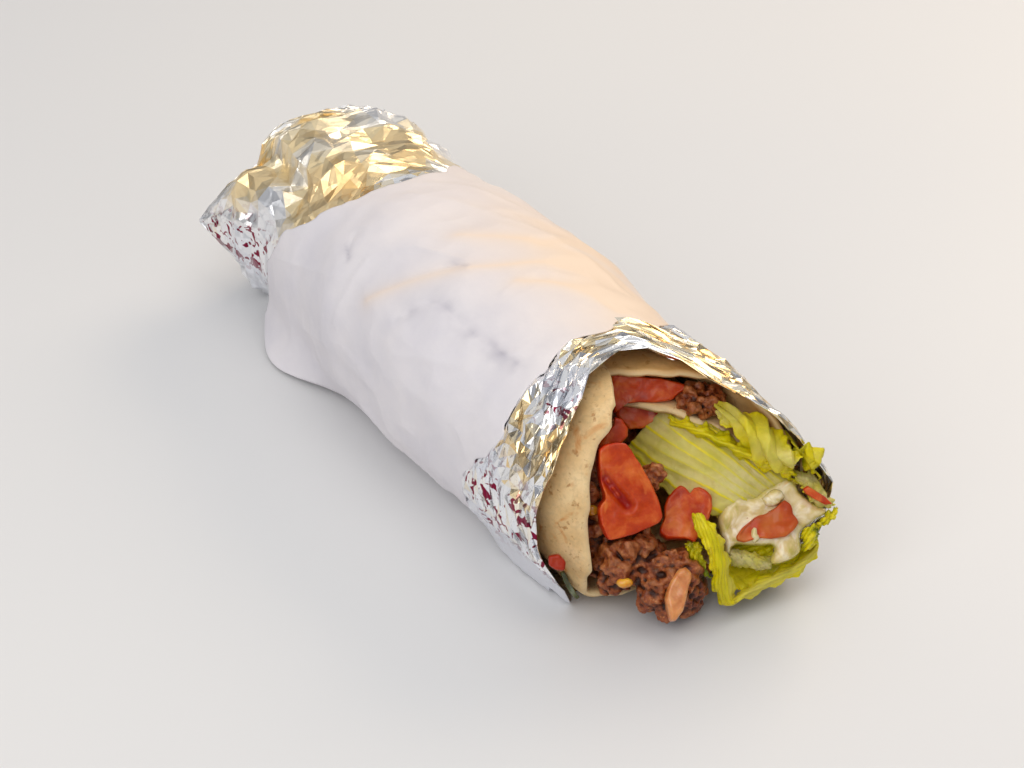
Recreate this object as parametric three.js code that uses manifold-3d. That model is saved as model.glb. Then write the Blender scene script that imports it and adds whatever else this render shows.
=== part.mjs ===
// A fajita wrap lying on its side: a flour tortilla rolled round ground beef, tomato and lettuce, in crumpled
// foil that closes the back end, with a white paper sleeve round the middle and the filling spilling out in front.
// Millimetres. +X runs along the roll to its open mouth, +Z is up, and +Y is the right-hand side seen from the mouth.
import * as THREE from "three";
import { mergeVertices } from "three/addons/utils/BufferGeometryUtils.js";
import Module from "manifold-3d";

const wasm = await Module();
wasm.setup();

// ---- Driving dimensions ----
const ROLL_BACK_X = -92; // back end of the rolled tortilla
const HALF_WIDTHS = [ // half width of the roll by x
  [-92, 30], [-60, 32.6], [-25, 36], [10, 37], [45, 34.9], [75, 35.6], [95, 34.2], [115, 31.7],
];
const HEIGHT_RATIO = 0.83; // the roll's height over its width
const SWEEP = [ // how far the roll's middle bends to the right, by x
  [-92, 3.5], [-60, 1.5], [-25, 0],
];
const SQUARENESS_ABOVE = 2.25; // superellipse powers of the section's upper and lower halves
const SQUARENESS_BELOW = 2.7;
const SINK = 3; // how far the roll is pressed flat underneath
const WRAPPING = 3.4; // foil and paper under the roll, so the paper's outside lies at z = 0
const TORTILLA_THICKNESS = 2.2;
const TORTILLA_PITCH = 2.9; // from one turn of the spiral to the next
const FOIL_THICKNESS = 1.0;
const FOIL_INSIDE = 0.5; // foil's inside over the roll's outside
const PAPER_THICKNESS = 0.8;
const LEAF_THICKNESS = 1.0;
const CLEARANCE = 0.3; // air kept between pieces that touch
const CENTRE = { x: 1.6, y: 0.8 }; // middle of the footprint, which becomes the origin

// ---- Small helpers ----
const degrees = THREE.MathUtils.degToRad;
const lerp = THREE.MathUtils.lerp;
const bell = (x, middle, width) => Math.exp(-(((x - middle) / width) ** 2));
const signedPower = (x, power) => Math.sign(x) * Math.abs(x) ** power;
const vector = (x, y, z) => new THREE.Vector3(x, y, z);

// Seeded random numbers from 0 to 1.
function randomFrom(seed) {
  let state = seed >>> 0;
  return () => {
    state = (state + 0x6d2b79f5) >>> 0;
    let t = Math.imul(state ^ (state >>> 15), 1 | state);
    t = (t + Math.imul(t ^ (t >>> 7), 61 | t)) ^ t;
    return ((t ^ (t >>> 14)) >>> 0) / 4294967296;
  };
}

// Reads a value at x from [x, value] pairs in rising order, easing between them.
function profile(pairs, x) {
  if (x <= pairs[0][0]) return pairs[0][1];
  for (let i = 1; i < pairs.length; i++)
    if (x <= pairs[i][0]) {
      const t = (x - pairs[i - 1][0]) / (pairs[i][0] - pairs[i - 1][0]);
      return lerp(pairs[i - 1][1], pairs[i][1], THREE.MathUtils.smoothstep(t, 0, 1));
    }
  return pairs.at(-1)[1];
}

// A closed solid's geometry as a manifold, its vertices merged and its faces turned outwards.
function solidOf(geometry) {
  const bare = geometry.clone();
  for (const name of ["normal", "uv"]) bare.deleteAttribute(name);
  const merged = mergeVertices(bare, 1e-3);
  const { array } = merged.attributes.position;
  const corner = (i) => new THREE.Vector3().fromArray(array, 3 * i);
  const triangles = [];
  let volume = 0;
  for (let i = 0; i < merged.index.count; i += 3) {
    const [a, b, c] = [0, 1, 2].map((k) => merged.index.getX(i + k));
    if (a === b || b === c || a === c) continue;
    triangles.push([a, b, c]);
    volume += corner(a).dot(corner(b).cross(corner(c)));
  }
  if (volume < 0) for (const t of triangles) t.reverse();
  return new wasm.Manifold(
    new wasm.Mesh({ numProp: 3, vertProperties: array, triVerts: new Uint32Array(triangles.flat()) }),
  );
}

// A manifold's largest body as a geometry.
function geometryOf(solid) {
  const largest = solid.decompose().sort((a, b) => b.volume() - a.volume())[0];
  const mesh = largest.getMesh();
  return new THREE.BufferGeometry()
    .setAttribute("position", new THREE.BufferAttribute(mesh.vertProperties, 3))
    .setIndex(new THREE.BufferAttribute(mesh.triVerts, 1));
}

// The same solid grown by a distance along its vertices' normals, for cutting its neighbours clear of it.
function grown(geometry, distance) {
  const bare = geometry.clone();
  for (const name of ["normal", "uv"]) bare.deleteAttribute(name);
  const merged = mergeVertices(bare, 1e-3);
  merged.computeVertexNormals();
  const { position, normal } = merged.attributes;
  for (let i = 0; i < position.count; i++)
    position.setXYZ(
      i,
      position.getX(i) + normal.getX(i) * distance,
      position.getY(i) + normal.getY(i) * distance,
      position.getZ(i) + normal.getZ(i) * distance,
    );
  return solidOf(merged);
}

// A closed solid between two grids of points, outer(u, v) and inner(u, v), with u and v from 0 to 1.
// Both faces are split into triangles alike. A round shell has no side walls at u = 0 and u = 1.
function shell(outer, inner, across, along, round = false) {
  const columns = round ? across : across + 1;
  const rows = along + 1;
  const positions = [];
  for (const side of [outer, inner])
    for (let j = 0; j < rows; j++)
      for (let i = 0; i < columns; i++) positions.push(...side(i / across, j / along).toArray());
  const at = (side, i, j) => (side * rows + j) * columns + (i % columns);
  const faces = [];
  const quad = (a, b, c, d) => faces.push(a, b, c, a, c, d);
  for (let i = 0; i < across; i++) {
    for (let j = 0; j < along; j++) {
      quad(at(0, i, j), at(0, i + 1, j), at(0, i + 1, j + 1), at(0, i, j + 1));
      quad(at(1, i, j), at(1, i, j + 1), at(1, i + 1, j + 1), at(1, i + 1, j));
    }
    quad(at(0, i, 0), at(1, i, 0), at(1, i + 1, 0), at(0, i + 1, 0));
    quad(at(0, i, along), at(0, i + 1, along), at(1, i + 1, along), at(1, i, along));
  }
  for (let j = 0; j < along && !round; j++) {
    quad(at(0, 0, j), at(0, 0, j + 1), at(1, 0, j + 1), at(1, 0, j));
    quad(at(0, across, j), at(1, across, j), at(1, across, j + 1), at(0, across, j + 1));
  }
  return new THREE.BufferGeometry()
    .setAttribute("position", new THREE.Float32BufferAttribute(positions, 3))
    .setIndex(faces);
}

// A thin solid of even thickness about the surface middle(u, v).
function sheet(middle, thickness, across, along) {
  const step = 1e-3;
  const face = (side) => (u, v) => {
    const du = middle(Math.min(u + step, 1), v).sub(middle(Math.max(u - step, 0), v));
    const dv = middle(u, Math.min(v + step, 1)).sub(middle(u, Math.max(v - step, 0)));
    return middle(u, v).addScaledVector(du.cross(dv).normalize(), (side * thickness) / 2);
  };
  return shell(face(1), face(-1), across, along);
}

// ---- The roll's form, which every layer follows ----
const halfWidth = (x) => profile(HALF_WIDTHS, x);
const halfHeight = (x) => HEIGHT_RATIO * halfWidth(x);
const axisHeight = (x) => WRAPPING - SINK + halfHeight(x);

// The point at distance `out` outside the roll. Angle 0 is the right side and 90 degrees the top.
function rollPoint(x, angle, out, scale = 1) {
  const [c, s] = [Math.cos(degrees(angle)), Math.sin(degrees(angle))];
  const power = 2 / (s > 0 ? SQUARENESS_ABOVE : SQUARENESS_BELOW);
  const y = (halfWidth(x) + out) * scale * signedPower(c, power);
  const z = (halfHeight(x) + out) * scale * signedPower(s, power);
  return vector(x, profile(SWEEP, x) + y, Math.max(axisHeight(x) + z, WRAPPING - out, 0));
}

// ---- Tortilla: one sheet, rolled in a spiral whose inner end crosses the filling as a loose flap ----
const SPIRAL_START = 92; // degrees, where the sheet's outer end lies on top
const SPIRAL_END = 735; // where the sheet leaves the wall
const SPIRAL_STEP = 14;
const MOUTH_EDGE = [ // how far the sheet reaches, by degrees along the spiral
  [92, 62], [97, 72], [105, 79], [115, 84], [139, 88], [163, 92], [199, 96], [240, 95], [270, 96], [300, 99],
  [330, 102], [360, 105], [385, 104], [395, 98], [405, 88], [420, 80], [430, 75], [443, 69], [452, 64], [480, 68],
  [540, 73], [600, 79], [660, 88], [700, 95], [735, 98], [750, 95], [767, 85], [783, 75], [800, 66],
];
const FLAP = [ // section of the loose flap at the mouth: y and z, from the right wall to its tip
  [24.4, 41.4], [19, 43.4], [13, 45], [6.5, 45.8], [0.5, 45.2],
];
const FLAP_END = 800; // where MOUTH_EDGE puts the flap's tip
const CURL = { angle: 172, spread: 48, depth: 5, length: 14 }; // the left side of the mouth turns inwards

function tortilla() {
  const stations = [];
  for (let d = SPIRAL_START; d <= SPIRAL_END; d += SPIRAL_STEP) stations.push(d);
  const turns = stations.length;
  FLAP.forEach((_, i) => stations.push(lerp(SPIRAL_END + 15, FLAP_END, i / (FLAP.length - 1))));
  const point = (i, x, edge) => {
    const d = stations[i];
    if (i >= turns) {
      const size = halfWidth(x) / halfWidth(80);
      return vector(x, FLAP[i - turns][0] * size, FLAP[i - turns][1] * size);
    }
    const curl = CURL.depth * bell(d, CURL.angle, CURL.spread) * Math.max(1 - (edge - x) / CURL.length, 0) ** 1.5;
    const inset = ((d - SPIRAL_START) / 360) * TORTILLA_PITCH + TORTILLA_THICKNESS / 2;
    return rollPoint(x, d, -inset - curl);
  };
  const middle = (u, v) => {
    const place = u * (stations.length - 1);
    const i = Math.min(Math.floor(place), stations.length - 2);
    const edge = profile(MOUTH_EDGE, lerp(stations[i], stations[i + 1], place - i));
    const x = lerp(ROLL_BACK_X, edge, v ** 0.5);
    return point(i, x, edge).lerp(point(i + 1, x, edge), place - i);
  };
  return sheet(middle, TORTILLA_THICKNESS, stations.length - 1, 8);
}

// ---- Paper sleeve: softly folded, and spread on the table at the back left ----
const PAPER_FRONT = [ // front edge by angle
  [0, 50], [38, 48], [58, 54], [63, 56], [73, 49], [86, 54], [96, 52], [119, 58], [156, 61], [167, 58], [175, 53],
  [186, 46], [198, 44], [225, 44], [270, 48], [315, 50], [360, 50],
];
const PAPER_BACK = [ // back edge by angle
  [0, -68], [50, -61], [71, -52], [91, -51], [110, -53], [132, -59], [160, -71], [185, -80], [220, -84],
  [270, -80], [320, -74], [360, -68],
];
const PAPER_SPREAD = { x: -62, y: -43, angle: 222, width: 15, length: 24 }; // the loose lower corner on the table
const PAPER_FOLDS = [ // middle x, angle in degrees, slant, width and height of each soft fold
  [-45, 125, 0.5, 5, 0.7], [-10, 100, -0.7, 6, 0.8], [20, 135, 0.6, 7, 0.6], [35, 75, -0.4, 5, 0.8],
  [-30, 160, 0.2, 6, 0.7], [5, 200, -0.3, 8, 0.6], [10, 20, 0.5, 7, 0.6], [-40, 330, 0.2, 9, 0.5],
];

function paper() {
  const fold = (x, angle) =>
    PAPER_FOLDS.reduce((sum, [x0, angle0, slant, width, height]) => {
      const arc = degrees(((angle - angle0 + 540) % 360) - 180) * halfWidth(x);
      return sum + height * bell(x - x0 - slant * arc, 0, width) * bell(arc, 0, 26);
    }, 0);
  const face = (inward) => (u, v) => {
    const angle = 360 * u;
    const x = lerp(profile(PAPER_FRONT, angle), profile(PAPER_BACK, angle), v);
    const p = rollPoint(x, angle, WRAPPING + fold(x, angle) - inward);
    const { x: middle, y, angle: corner, width, length } = PAPER_SPREAD;
    return p.lerp(vector(p.x, y + inward, inward), 0.8 * bell(angle, corner, width) * bell(x, middle, length));
  };
  return shell(face(0), face(PAPER_THICKNESS), 38, 9, true);
}

// ---- Foil: a cup round the roll, open in front, pinched shut behind, with a loose corner at the back left ----
const FOIL_FRONT = [ // front edge by angle
  [0, 112], [20, 110], [36, 105], [48, 97], [56, 88], [63, 84], [70, 77], [79, 72], [84, 68], [99, 68], [106, 71],
  [119, 78], [143, 83], [165, 85], [178, 85], [187, 92], [200, 95], [218, 90], [240, 91], [270, 95], [300, 101],
  [330, 108], [360, 112],
];
const FOIL_FLARE = [ // how far the front edge stands off, by angle
  [0, 7], [35, 6], [60, 3.6], [90, 3.2], [150, 2.4], [200, 3.2], [240, 2.4], [270, 1.8], [330, 4], [360, 7],
];
const FOIL_SHOULDER_X = -98; // where the back end starts to close
const FOIL_BACK_DEPTH = 17;
const FOIL_PUFF = 3.5; // how far the foil stands off the roll behind the paper
const FOIL_CORNER = vector(-120, -38, 25); // tip of the loose corner

function foil() {
  const [around, along, body] = [36, 17, 0.7];
  const random = randomFrom(11);
  const crumple = Array.from({ length: around * (along + 1) }, () => random());
  const face = (inward) => (u, v) => {
    const angle = 360 * u;
    const [front, cover] = [profile(FOIL_FRONT, angle), profile(PAPER_FRONT, angle)];
    const back = Math.max((v - body) / (1 - body), 0);
    const closing = (back * Math.PI) / 2;
    const x = lerp(front, FOIL_SHOULDER_X, Math.min(v / body, 1) ** 1.25) - FOIL_BACK_DEPTH * Math.sin(closing) ** 1.3;
    const band = THREE.MathUtils.clamp((x - cover) / (front - cover), 0, 1);
    const bump = crumple[Math.round(v * along) * around + (Math.round(u * around) % around)];
    const behind = THREE.MathUtils.smoothstep(profile(PAPER_BACK, angle) - 4 - x, 0, 16);
    const puff = behind * (FOIL_PUFF * bell(angle, 110, 65) + 2.4 * bump);
    const loose = x > cover ? 1.5 * bump * Math.min(band * 4, 1) : Math.max(puff, 0.3 * bump);
    const out = FOIL_INSIDE + FOIL_THICKNESS + profile(FOIL_FLARE, angle) * band ** 0.6 + loose - inward;
    const p = rollPoint(x, angle, out, Math.cos(closing) ** 0.5);
    const pull = 0.78 * bell(angle, 162, 34) * Math.max(Math.sin(Math.PI * back ** 0.7), 0) ** 2;
    return p.lerp(FOIL_CORNER.clone().add(vector(inward * 1.5, inward, 0)), pull);
  };
  return shell(face(0), face(FOIL_THICKNESS), around, along, true);
}

// ---- Lettuce ----
// A leaf runs from base past bend to tip. Its width lies along side, which may turn to sideTip. Cup lifts its edges,
// and ruffle waves them.
function leafSurface({ base, bend, tip, side, sideTip = side, width, cup = 0, ruffle = 0, waves = 2, taper = 0.35 }) {
  const spine = new THREE.QuadraticBezierCurve3(vector(...base), vector(...bend), vector(...tip));
  const [from, to] = [vector(...side).normalize(), vector(...sideTip).normalize()];
  return (u, v) => {
    const t = v;
    const tangent = spine.getTangent(t);
    const across = from.clone().lerp(to, t).normalize();
    const up = tangent.clone().cross(across).normalize();
    const s = 2 * u - 1;
    const spread = (width / 2) * (1 - taper * (2 * Math.abs(t - 0.6)) ** 2);
    const wave = ruffle * s * s * Math.sin(2 * Math.PI * waves * t + (s > 0 ? 0 : 1.9));
    return spine
      .getPoint(t)
      .addScaledVector(across, s * spread)
      .addScaledVector(up, cup * s * s + wave);
  };
}

const LEAVES = {
  lettuce_leaf_broad: {
    base: [70, 4, 37], bend: [91, 9, 43], tip: [108, 22, 25], side: [0.1, 0.93, 0.35], sideTip: [0.1, 0.95, 0.25],
    width: 26, cup: 1, ruffle: 1.2, waves: 2, taper: 0.1,
  },
  lettuce_leaf_upper: {
    base: [80, 22, 46], bend: [95, 23, 50], tip: [109, 26, 38], side: [0.3, 0.85, -0.4], sideTip: [0.4, 0.85, -0.5],
    width: 17, cup: -1, ruffle: 2, waves: 2.5, taper: 0.4,
  },
  lettuce_leaf_right: {
    base: [92, 27, 38], bend: [107, 33, 45], tip: [114, 37, 31], side: [0.1, 0.4, -0.9], sideTip: [0.1, 0.4, -0.9],
    width: 15, cup: 1, ruffle: 1.6, waves: 2, taper: 0.4,
  },
  lettuce_leaf_lower: {
    base: [99, -1, 31], bend: [110, 13, -17], tip: [108, 39, 24], side: [1, 0.1, 0.05], sideTip: [1, 0.2, 0],
    width: 16, cup: 0.5, ruffle: 1.6, waves: 3, taper: 0.3,
  },
  lettuce_leaf_inner: {
    base: [84, 14, 22], bend: [102, 16, 25], tip: [113, 22, 15], side: [0, 1, 0.1], sideTip: [-0.1, 1, 0.25],
    width: 22, cup: 2.5, ruffle: 1, waves: 2, taper: 0.2,
  },
  lettuce_shred: {
    base: [96, 2, 18], bend: [105, 3, 19], tip: [110, 2, 9], side: [0.2, 1, 0.3],
    width: 7, cup: 0.5, ruffle: 0.6, waves: 1, taper: 0.3,
  },
};

// ---- Tomato ----
// Cut faces look forward, up and to the left, out of the mouth. A slice is an outline in that face's plane, in
// millimetres across and up, given a thickness and rounded edges, then turned a little about its own axes.
const FACE_ACROSS = vector(0.537, 0.843, 0);
const FACE_UP = vector(-0.475, 0.303, 0.826);
const FACING = new THREE.Quaternion().setFromRotationMatrix(
  new THREE.Matrix4().makeBasis(FACE_ACROSS, FACE_UP, FACE_ACROSS.clone().cross(FACE_UP)),
);
const SLICE_BEVEL = 1;

function slice({ at, outline, thickness, turn = [0, 0, 0] }) {
  const shape = new THREE.Shape(outline.map(([x, y]) => new THREE.Vector2(x, y)));
  const depth = thickness - 2 * SLICE_BEVEL;
  const geometry = new THREE.ExtrudeGeometry(shape, {
    depth, bevelThickness: SLICE_BEVEL, bevelSize: SLICE_BEVEL, bevelOffset: -SLICE_BEVEL, bevelSegments: 2,
  });
  const tilt = new THREE.Quaternion().setFromEuler(new THREE.Euler(...turn.map(degrees)));
  const turned = FACING.clone().multiply(tilt);
  geometry.translate(0, 0, SLICE_BEVEL - thickness);
  return geometry.applyMatrix4(new THREE.Matrix4().compose(vector(...at), turned, vector(1, 1, 1)));
}

const TOMATOES = {
  tomato_wedge: {
    at: [96, -16, 40], thickness: 7, turn: [0, 6, 0],
    outline: [[-7.2, 13], [0, 14.2], [4, 6.5], [9.8, -6.5], [8.9, -8.6], [-5.2, -13.3], [-9.3, -2.3], [-8, 6]],
  },
  tomato_dice_right: {
    at: [102, 0, 28.5], thickness: 7, turn: [-8, 0, 0],
    outline: [
      [-7, 3.8], [-4.6, 6.7], [-1.2, 8.1], [1.2, 6], [3.5, 7.7], [6.4, 6.7], [7.2, 2.3], [5.8, -3.5], [3.5, -8.1],
      [-2.3, -7.2], [-5.8, -5.8], [-8.1, -2],
    ],
  },
  tomato_slab_upper: {
    at: [70.5, 7.5, 49.8], thickness: 8,
    outline: [[-11.6, 4.3], [-3.5, 4.3], [11, 2.6], [8.7, -0.6], [5.8, -3.5], [-3.5, -3.2], [-9.3, -3.8]],
  },
  tomato_dice_left: {
    at: [79, -9.5, 45.5], thickness: 8,
    outline: [[-5.2, -4.3], [-4, 0.6], [-1.5, 4.5], [3.5, 4.8], [6.4, 1.2], [2.9, -3.5], [-1.7, -5]],
  },
  tomato_dice_middle: {
    at: [69, 3.5, 41], thickness: 7,
    outline: [[-6.7, 2], [-0.3, 2.6], [5.5, 1.6], [6.7, -0.6], [3, -3.6], [-3.2, -3.6], [-6.7, -1.6]],
  },
  tomato_in_dressing: {
    at: [112, 18, 25.5], thickness: 6, turn: [-6, 0, 0],
    outline: [
      [-9, -3.8], [-6.7, 0.6], [-0.9, 4.3], [4.9, 6.4], [8.4, 2.9], [9.3, -0.9], [4.9, -3.8], [-2.3, -6.1],
      [-7.5, -6.1],
    ],
  },
  tomato_bit_left: {
    at: [93, -38.3, 22.5], thickness: 2.6, turn: [0, -25, 0],
    outline: [[-2.8, 3], [1.5, 3.2], [3.4, -0.5], [1.5, -3.6], [-2.6, -2]],
  },
};

const DRESSING = {
  at: [111.9, 18.75, 22.6], thickness: 4.5, turn: [-6, 0, 0],
  outline: [
    [-12.2, 6.1], [-7, 10], [-0.9, 11.3], [6.7, 10], [12.2, 6.7], [14, 1.5], [11.3, -4.6], [5.2, -9.1], [-2.4, -11.3],
    [-7.9, -8.2], [-10.7, -3],
  ],
};

// ---- Lumps ----
// A cut piece: a rounded block with the given half sizes, turned by Euler angles in degrees.
function cutPiece({ at, half, turn, power = 3.2, detail = 2, seed, rough = 0.05 }) {
  const geometry = mergeVertices(barePositions(new THREE.IcosahedronGeometry(1, detail)), 1e-4);
  const { position } = geometry.attributes;
  const random = randomFrom(seed);
  const lobes = Array.from({ length: 5 }, () => vector(random() - 0.5, random() - 0.5, random() - 0.5).normalize());
  for (let i = 0; i < position.count; i++) {
    const n = new THREE.Vector3().fromBufferAttribute(position, i).normalize();
    const [x, y, z] = n.toArray().map(Math.abs);
    const reach = (x ** power + y ** power + z ** power) ** (-1 / power);
    const swell = lobes.reduce((sum, lobe) => sum + rough * Math.max(n.dot(lobe), 0) ** 3, 1);
    position.setXYZ(i, n.x * reach * swell * half[0], n.y * reach * swell * half[1], n.z * reach * swell * half[2]);
  }
  geometry.applyMatrix4(
    new THREE.Matrix4().compose(
      vector(...at),
      new THREE.Quaternion().setFromEuler(new THREE.Euler(...turn.map(degrees))),
      vector(1, 1, 1),
    ),
  );
  return geometry;
}

function barePositions(geometry) {
  for (const name of ["normal", "uv"]) geometry.deleteAttribute(name);
  return geometry;
}

// ---- Cores: the filling that runs through the roll behind what shows ----
// A straight core whose section is an arc of the room inside the tortilla, closed by the given inner points.
function core(fromDegrees, toDegrees, inset, closing, backX, frontX) {
  const arcPoints = 12;
  const ring = (x) => {
    const size = halfWidth(x) / halfWidth(80);
    const arc = Array.from({ length: arcPoints + 1 }, (_, i) =>
      rollPoint(x, lerp(fromDegrees, toDegrees, i / arcPoints), -inset),
    );
    return [...arc, ...closing.map(([y, z]) => vector(x, y * size, z * size))];
  };
  const count = ring(0).length;
  const middle = (x) => ring(x).reduce((sum, p) => sum.add(p), vector(0, 0, 0)).divideScalar(count);
  const outer = (u, v) => {
    const x = lerp(backX, frontX, THREE.MathUtils.clamp(2 * v - 0.5, 0, 1));
    const end = v === 0 || v === 1 ? 1 : 0;
    return ring(x)[Math.round(u * count) % count].lerp(middle(x), end);
  };
  return solidOf(shellOfRings(outer, count, [0, 0.25, 0.5, 0.75, 1]));
}

// A closed tube through rings of points, with its first and last ring each gathered to one point.
function shellOfRings(point, around, stations) {
  const positions = [];
  for (const v of stations) for (let i = 0; i < around; i++) positions.push(...point(i / around, v).toArray());
  const faces = [];
  for (let j = 0; j + 1 < stations.length; j++)
    for (let i = 0; i < around; i++) {
      const [a, b] = [j * around + i, j * around + ((i + 1) % around)];
      faces.push(a, b, b + around, a, b + around, a + around);
    }
  return new THREE.BufferGeometry()
    .setAttribute("position", new THREE.Float32BufferAttribute(positions, 3))
    .setIndex(faces);
}

// ---- Ground beef: a core with the mound, the fallen lump and the crumbs that show fused on ----
const BEEF_LUMPS = [
  { at: [81, -17, 24], half: [11, 10, 17], turn: [0, 0, 0], seed: 21, power: 2.2, detail: 1, rough: 0.12 },
  { at: [104, -7, 12.5], half: [8.5, 10, 10.5], turn: [0, 0, 20], seed: 22, power: 2.3, detail: 2, rough: 0.15 },
  { at: [95, -14.5, 19.5], half: [8, 9.5, 9.5], turn: [0, 0, 0], seed: 24, power: 2.2, detail: 1, rough: 0.15 },
];
const CORN = [ // loose kernels among the beef
  { at: [92, -26, 33.5], half: [2.2, 1.6, 2], turn: [0, 0, 30], seed: 51, power: 2.6, detail: 0 },
  { at: [102, -23, 19], half: [2.2, 1.6, 2], turn: [20, 0, 0], seed: 52, power: 2.6, detail: 0 },
];
const CRUMB_COUNT = 24;
const CRUMB_SIZE = [2.2, 3.6]; // smallest and largest half size
const CRUMB_TOP = 32; // no crumb lies higher

function beefCrumbs() {
  const random = randomFrom(31);
  return Array.from({ length: CRUMB_COUNT }, (_, i) => {
    const lump = BEEF_LUMPS[i % BEEF_LUMPS.length];
    const turn = degrees(lerp(-110, 80, random()));
    const rise = degrees(lerp(-35, 75, random()));
    const at = [
      lump.at[0] + lump.half[0] * Math.cos(rise) * Math.cos(turn),
      lump.at[1] + lump.half[1] * Math.cos(rise) * Math.sin(turn),
      THREE.MathUtils.clamp(lump.at[2] + lump.half[2] * Math.sin(rise), CRUMB_SIZE[1] + 0.5, CRUMB_TOP),
    ];
    const size = () => lerp(...CRUMB_SIZE, random());
    return cutPiece({
      at, half: [size(), size(), size()], turn: [360 * random(), 0, 360 * random()], seed: i, power: 2.4, detail: 0,
    });
  });
}

const BEEF_UPPER = { at: [78, 19.5, 47.8], half: [7, 6.5, 3.2], turn: [0, 0, 35], seed: 41, power: 2.4, detail: 1, rough: 0.2 };
const BEEF_CRUMB = { at: [91, -5.5, 38.5], half: [3.5, 4, 4], turn: [0, 20, 0], seed: 42, power: 2.3, detail: 1, rough: 0.2 };
const ONION = { at: [111.5, -8, 14], half: [2, 2.6, 7], turn: [25, 12, 0], seed: 43, power: 2.4, detail: 1 };

// ---- Assembly ----
const COLOURS = {
  paper: [0xe6e3e4, 0.62, 0], foil: [0xc9ccd2, 0.28, 1], tortilla: [0xdcc49a, 0.7, 0], beef: [0x6b3a24, 0.5, 0],
  tomato: [0xc6432a, 0.3, 0], lettuce: [0xb9cc6a, 0.4, 0], onion: [0xe0a070, 0.35, 0], dressing: [0xeee6d2, 0.3, 0],
};
const fajita = new THREE.Group();

function add(name, geometry, finish) {
  const [color, roughness, metalness] = COLOURS[finish];
  const mesh = new THREE.Mesh(geometry, new THREE.MeshStandardMaterial({ color, roughness, metalness }));
  mesh.name = name;
  fajita.add(mesh);
}

// Cuts a piece clear of pieces already made, and keeps its largest body.
const placed = [];
function place(name, piece, finish) {
  const solid = placed.reduce((left, neighbour) => left.subtract(neighbour), piece);
  const geometry = geometryOf(solid);
  placed.push(grown(geometry, CLEARANCE), solidOf(geometry));
  add(name, geometry, finish);
}

place("paper_sleeve", solidOf(paper()), "paper");
place("foil_wrap", solidOf(foil()), "foil");
place("tortilla", solidOf(tortilla()), "tortilla");
for (const [name, spec] of Object.entries(TOMATOES)) place(name, solidOf(slice(spec)), "tomato");
place("dressing", solidOf(slice(DRESSING)), "dressing");
place("onion_sliver", solidOf(cutPiece(ONION)), "onion");
for (const [name, spec] of Object.entries(LEAVES))
  place(name, solidOf(sheet(leafSurface(spec), LEAF_THICKNESS, 6, 9)), "lettuce");
place("beef_upper", solidOf(cutPiece(BEEF_UPPER)), "beef");
place("beef_crumb", solidOf(cutPiece(BEEF_CRUMB)), "beef");
const beefCore = core(132, 284, 9.8, [[3, 12], [-6, 38]], -86, 78);
const beefPieces = [...[...BEEF_LUMPS, ...CORN].map(cutPiece), ...beefCrumbs()].map(solidOf);
place("ground_beef", beefPieces.reduce((sum, piece) => sum.add(piece), beefCore), "beef");
place("lettuce_core", core(292, 368, 9.8, [[14, 34], [-3, 34], [6, 12]], -86, 57), "lettuce");

fajita.position.set(-CENTRE.x, -CENTRE.y, 0);

export default fajita;
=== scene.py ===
"""A fajita wrap in foil and paper, dressed over its fixed frame: every visible layer is rebuilt finer than
the solids, from the same dimensions. Lengths are in millimetres until a mesh is made. +X runs to the open
mouth, +Z is up."""

import math

import bpy
import numpy as np
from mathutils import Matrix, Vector, geometry


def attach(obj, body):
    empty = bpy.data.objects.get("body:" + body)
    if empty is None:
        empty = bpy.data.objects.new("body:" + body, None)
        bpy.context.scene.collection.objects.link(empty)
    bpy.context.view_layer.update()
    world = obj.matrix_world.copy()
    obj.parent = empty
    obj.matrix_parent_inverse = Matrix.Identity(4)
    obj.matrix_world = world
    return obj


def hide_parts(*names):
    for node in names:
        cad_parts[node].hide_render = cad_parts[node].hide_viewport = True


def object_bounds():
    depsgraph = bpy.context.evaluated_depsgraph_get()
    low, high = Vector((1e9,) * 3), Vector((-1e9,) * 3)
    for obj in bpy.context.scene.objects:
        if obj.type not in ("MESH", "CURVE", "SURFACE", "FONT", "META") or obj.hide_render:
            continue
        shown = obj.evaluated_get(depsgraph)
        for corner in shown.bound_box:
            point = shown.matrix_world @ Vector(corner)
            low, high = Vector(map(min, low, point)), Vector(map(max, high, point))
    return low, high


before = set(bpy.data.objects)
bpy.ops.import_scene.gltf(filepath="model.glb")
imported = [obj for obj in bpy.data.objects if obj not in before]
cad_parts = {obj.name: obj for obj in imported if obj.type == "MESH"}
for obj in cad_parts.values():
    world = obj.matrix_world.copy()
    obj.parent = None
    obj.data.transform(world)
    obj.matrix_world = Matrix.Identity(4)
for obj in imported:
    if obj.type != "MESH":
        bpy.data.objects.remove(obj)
cad_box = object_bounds()

# ---- Dimensions shared with the solids ----
# The frame's origin, in the roll's own millimetres.
CENTRE = np.array([1.6, 0.8, 0.0])
ROLL_BACK_X = -92
HALF_WIDTHS = [(-92, 30), (-60, 32.6), (-25, 36), (10, 37), (45, 34.9), (75, 35.6), (95, 34.2), (115, 31.7)]
HEIGHT_RATIO = 0.83
SWEEP = [(-92, 3.5), (-60, 1.5), (-25, 0)]
SQUARENESS_ABOVE = 2.25
SQUARENESS_BELOW = 2.7
SINK = 3
WRAPPING = 3.4
TORTILLA_THICKNESS = 2.2
TORTILLA_PITCH = 2.9
FOIL_GAP = 0.5
FOIL_THICKNESS = 1.0
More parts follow.
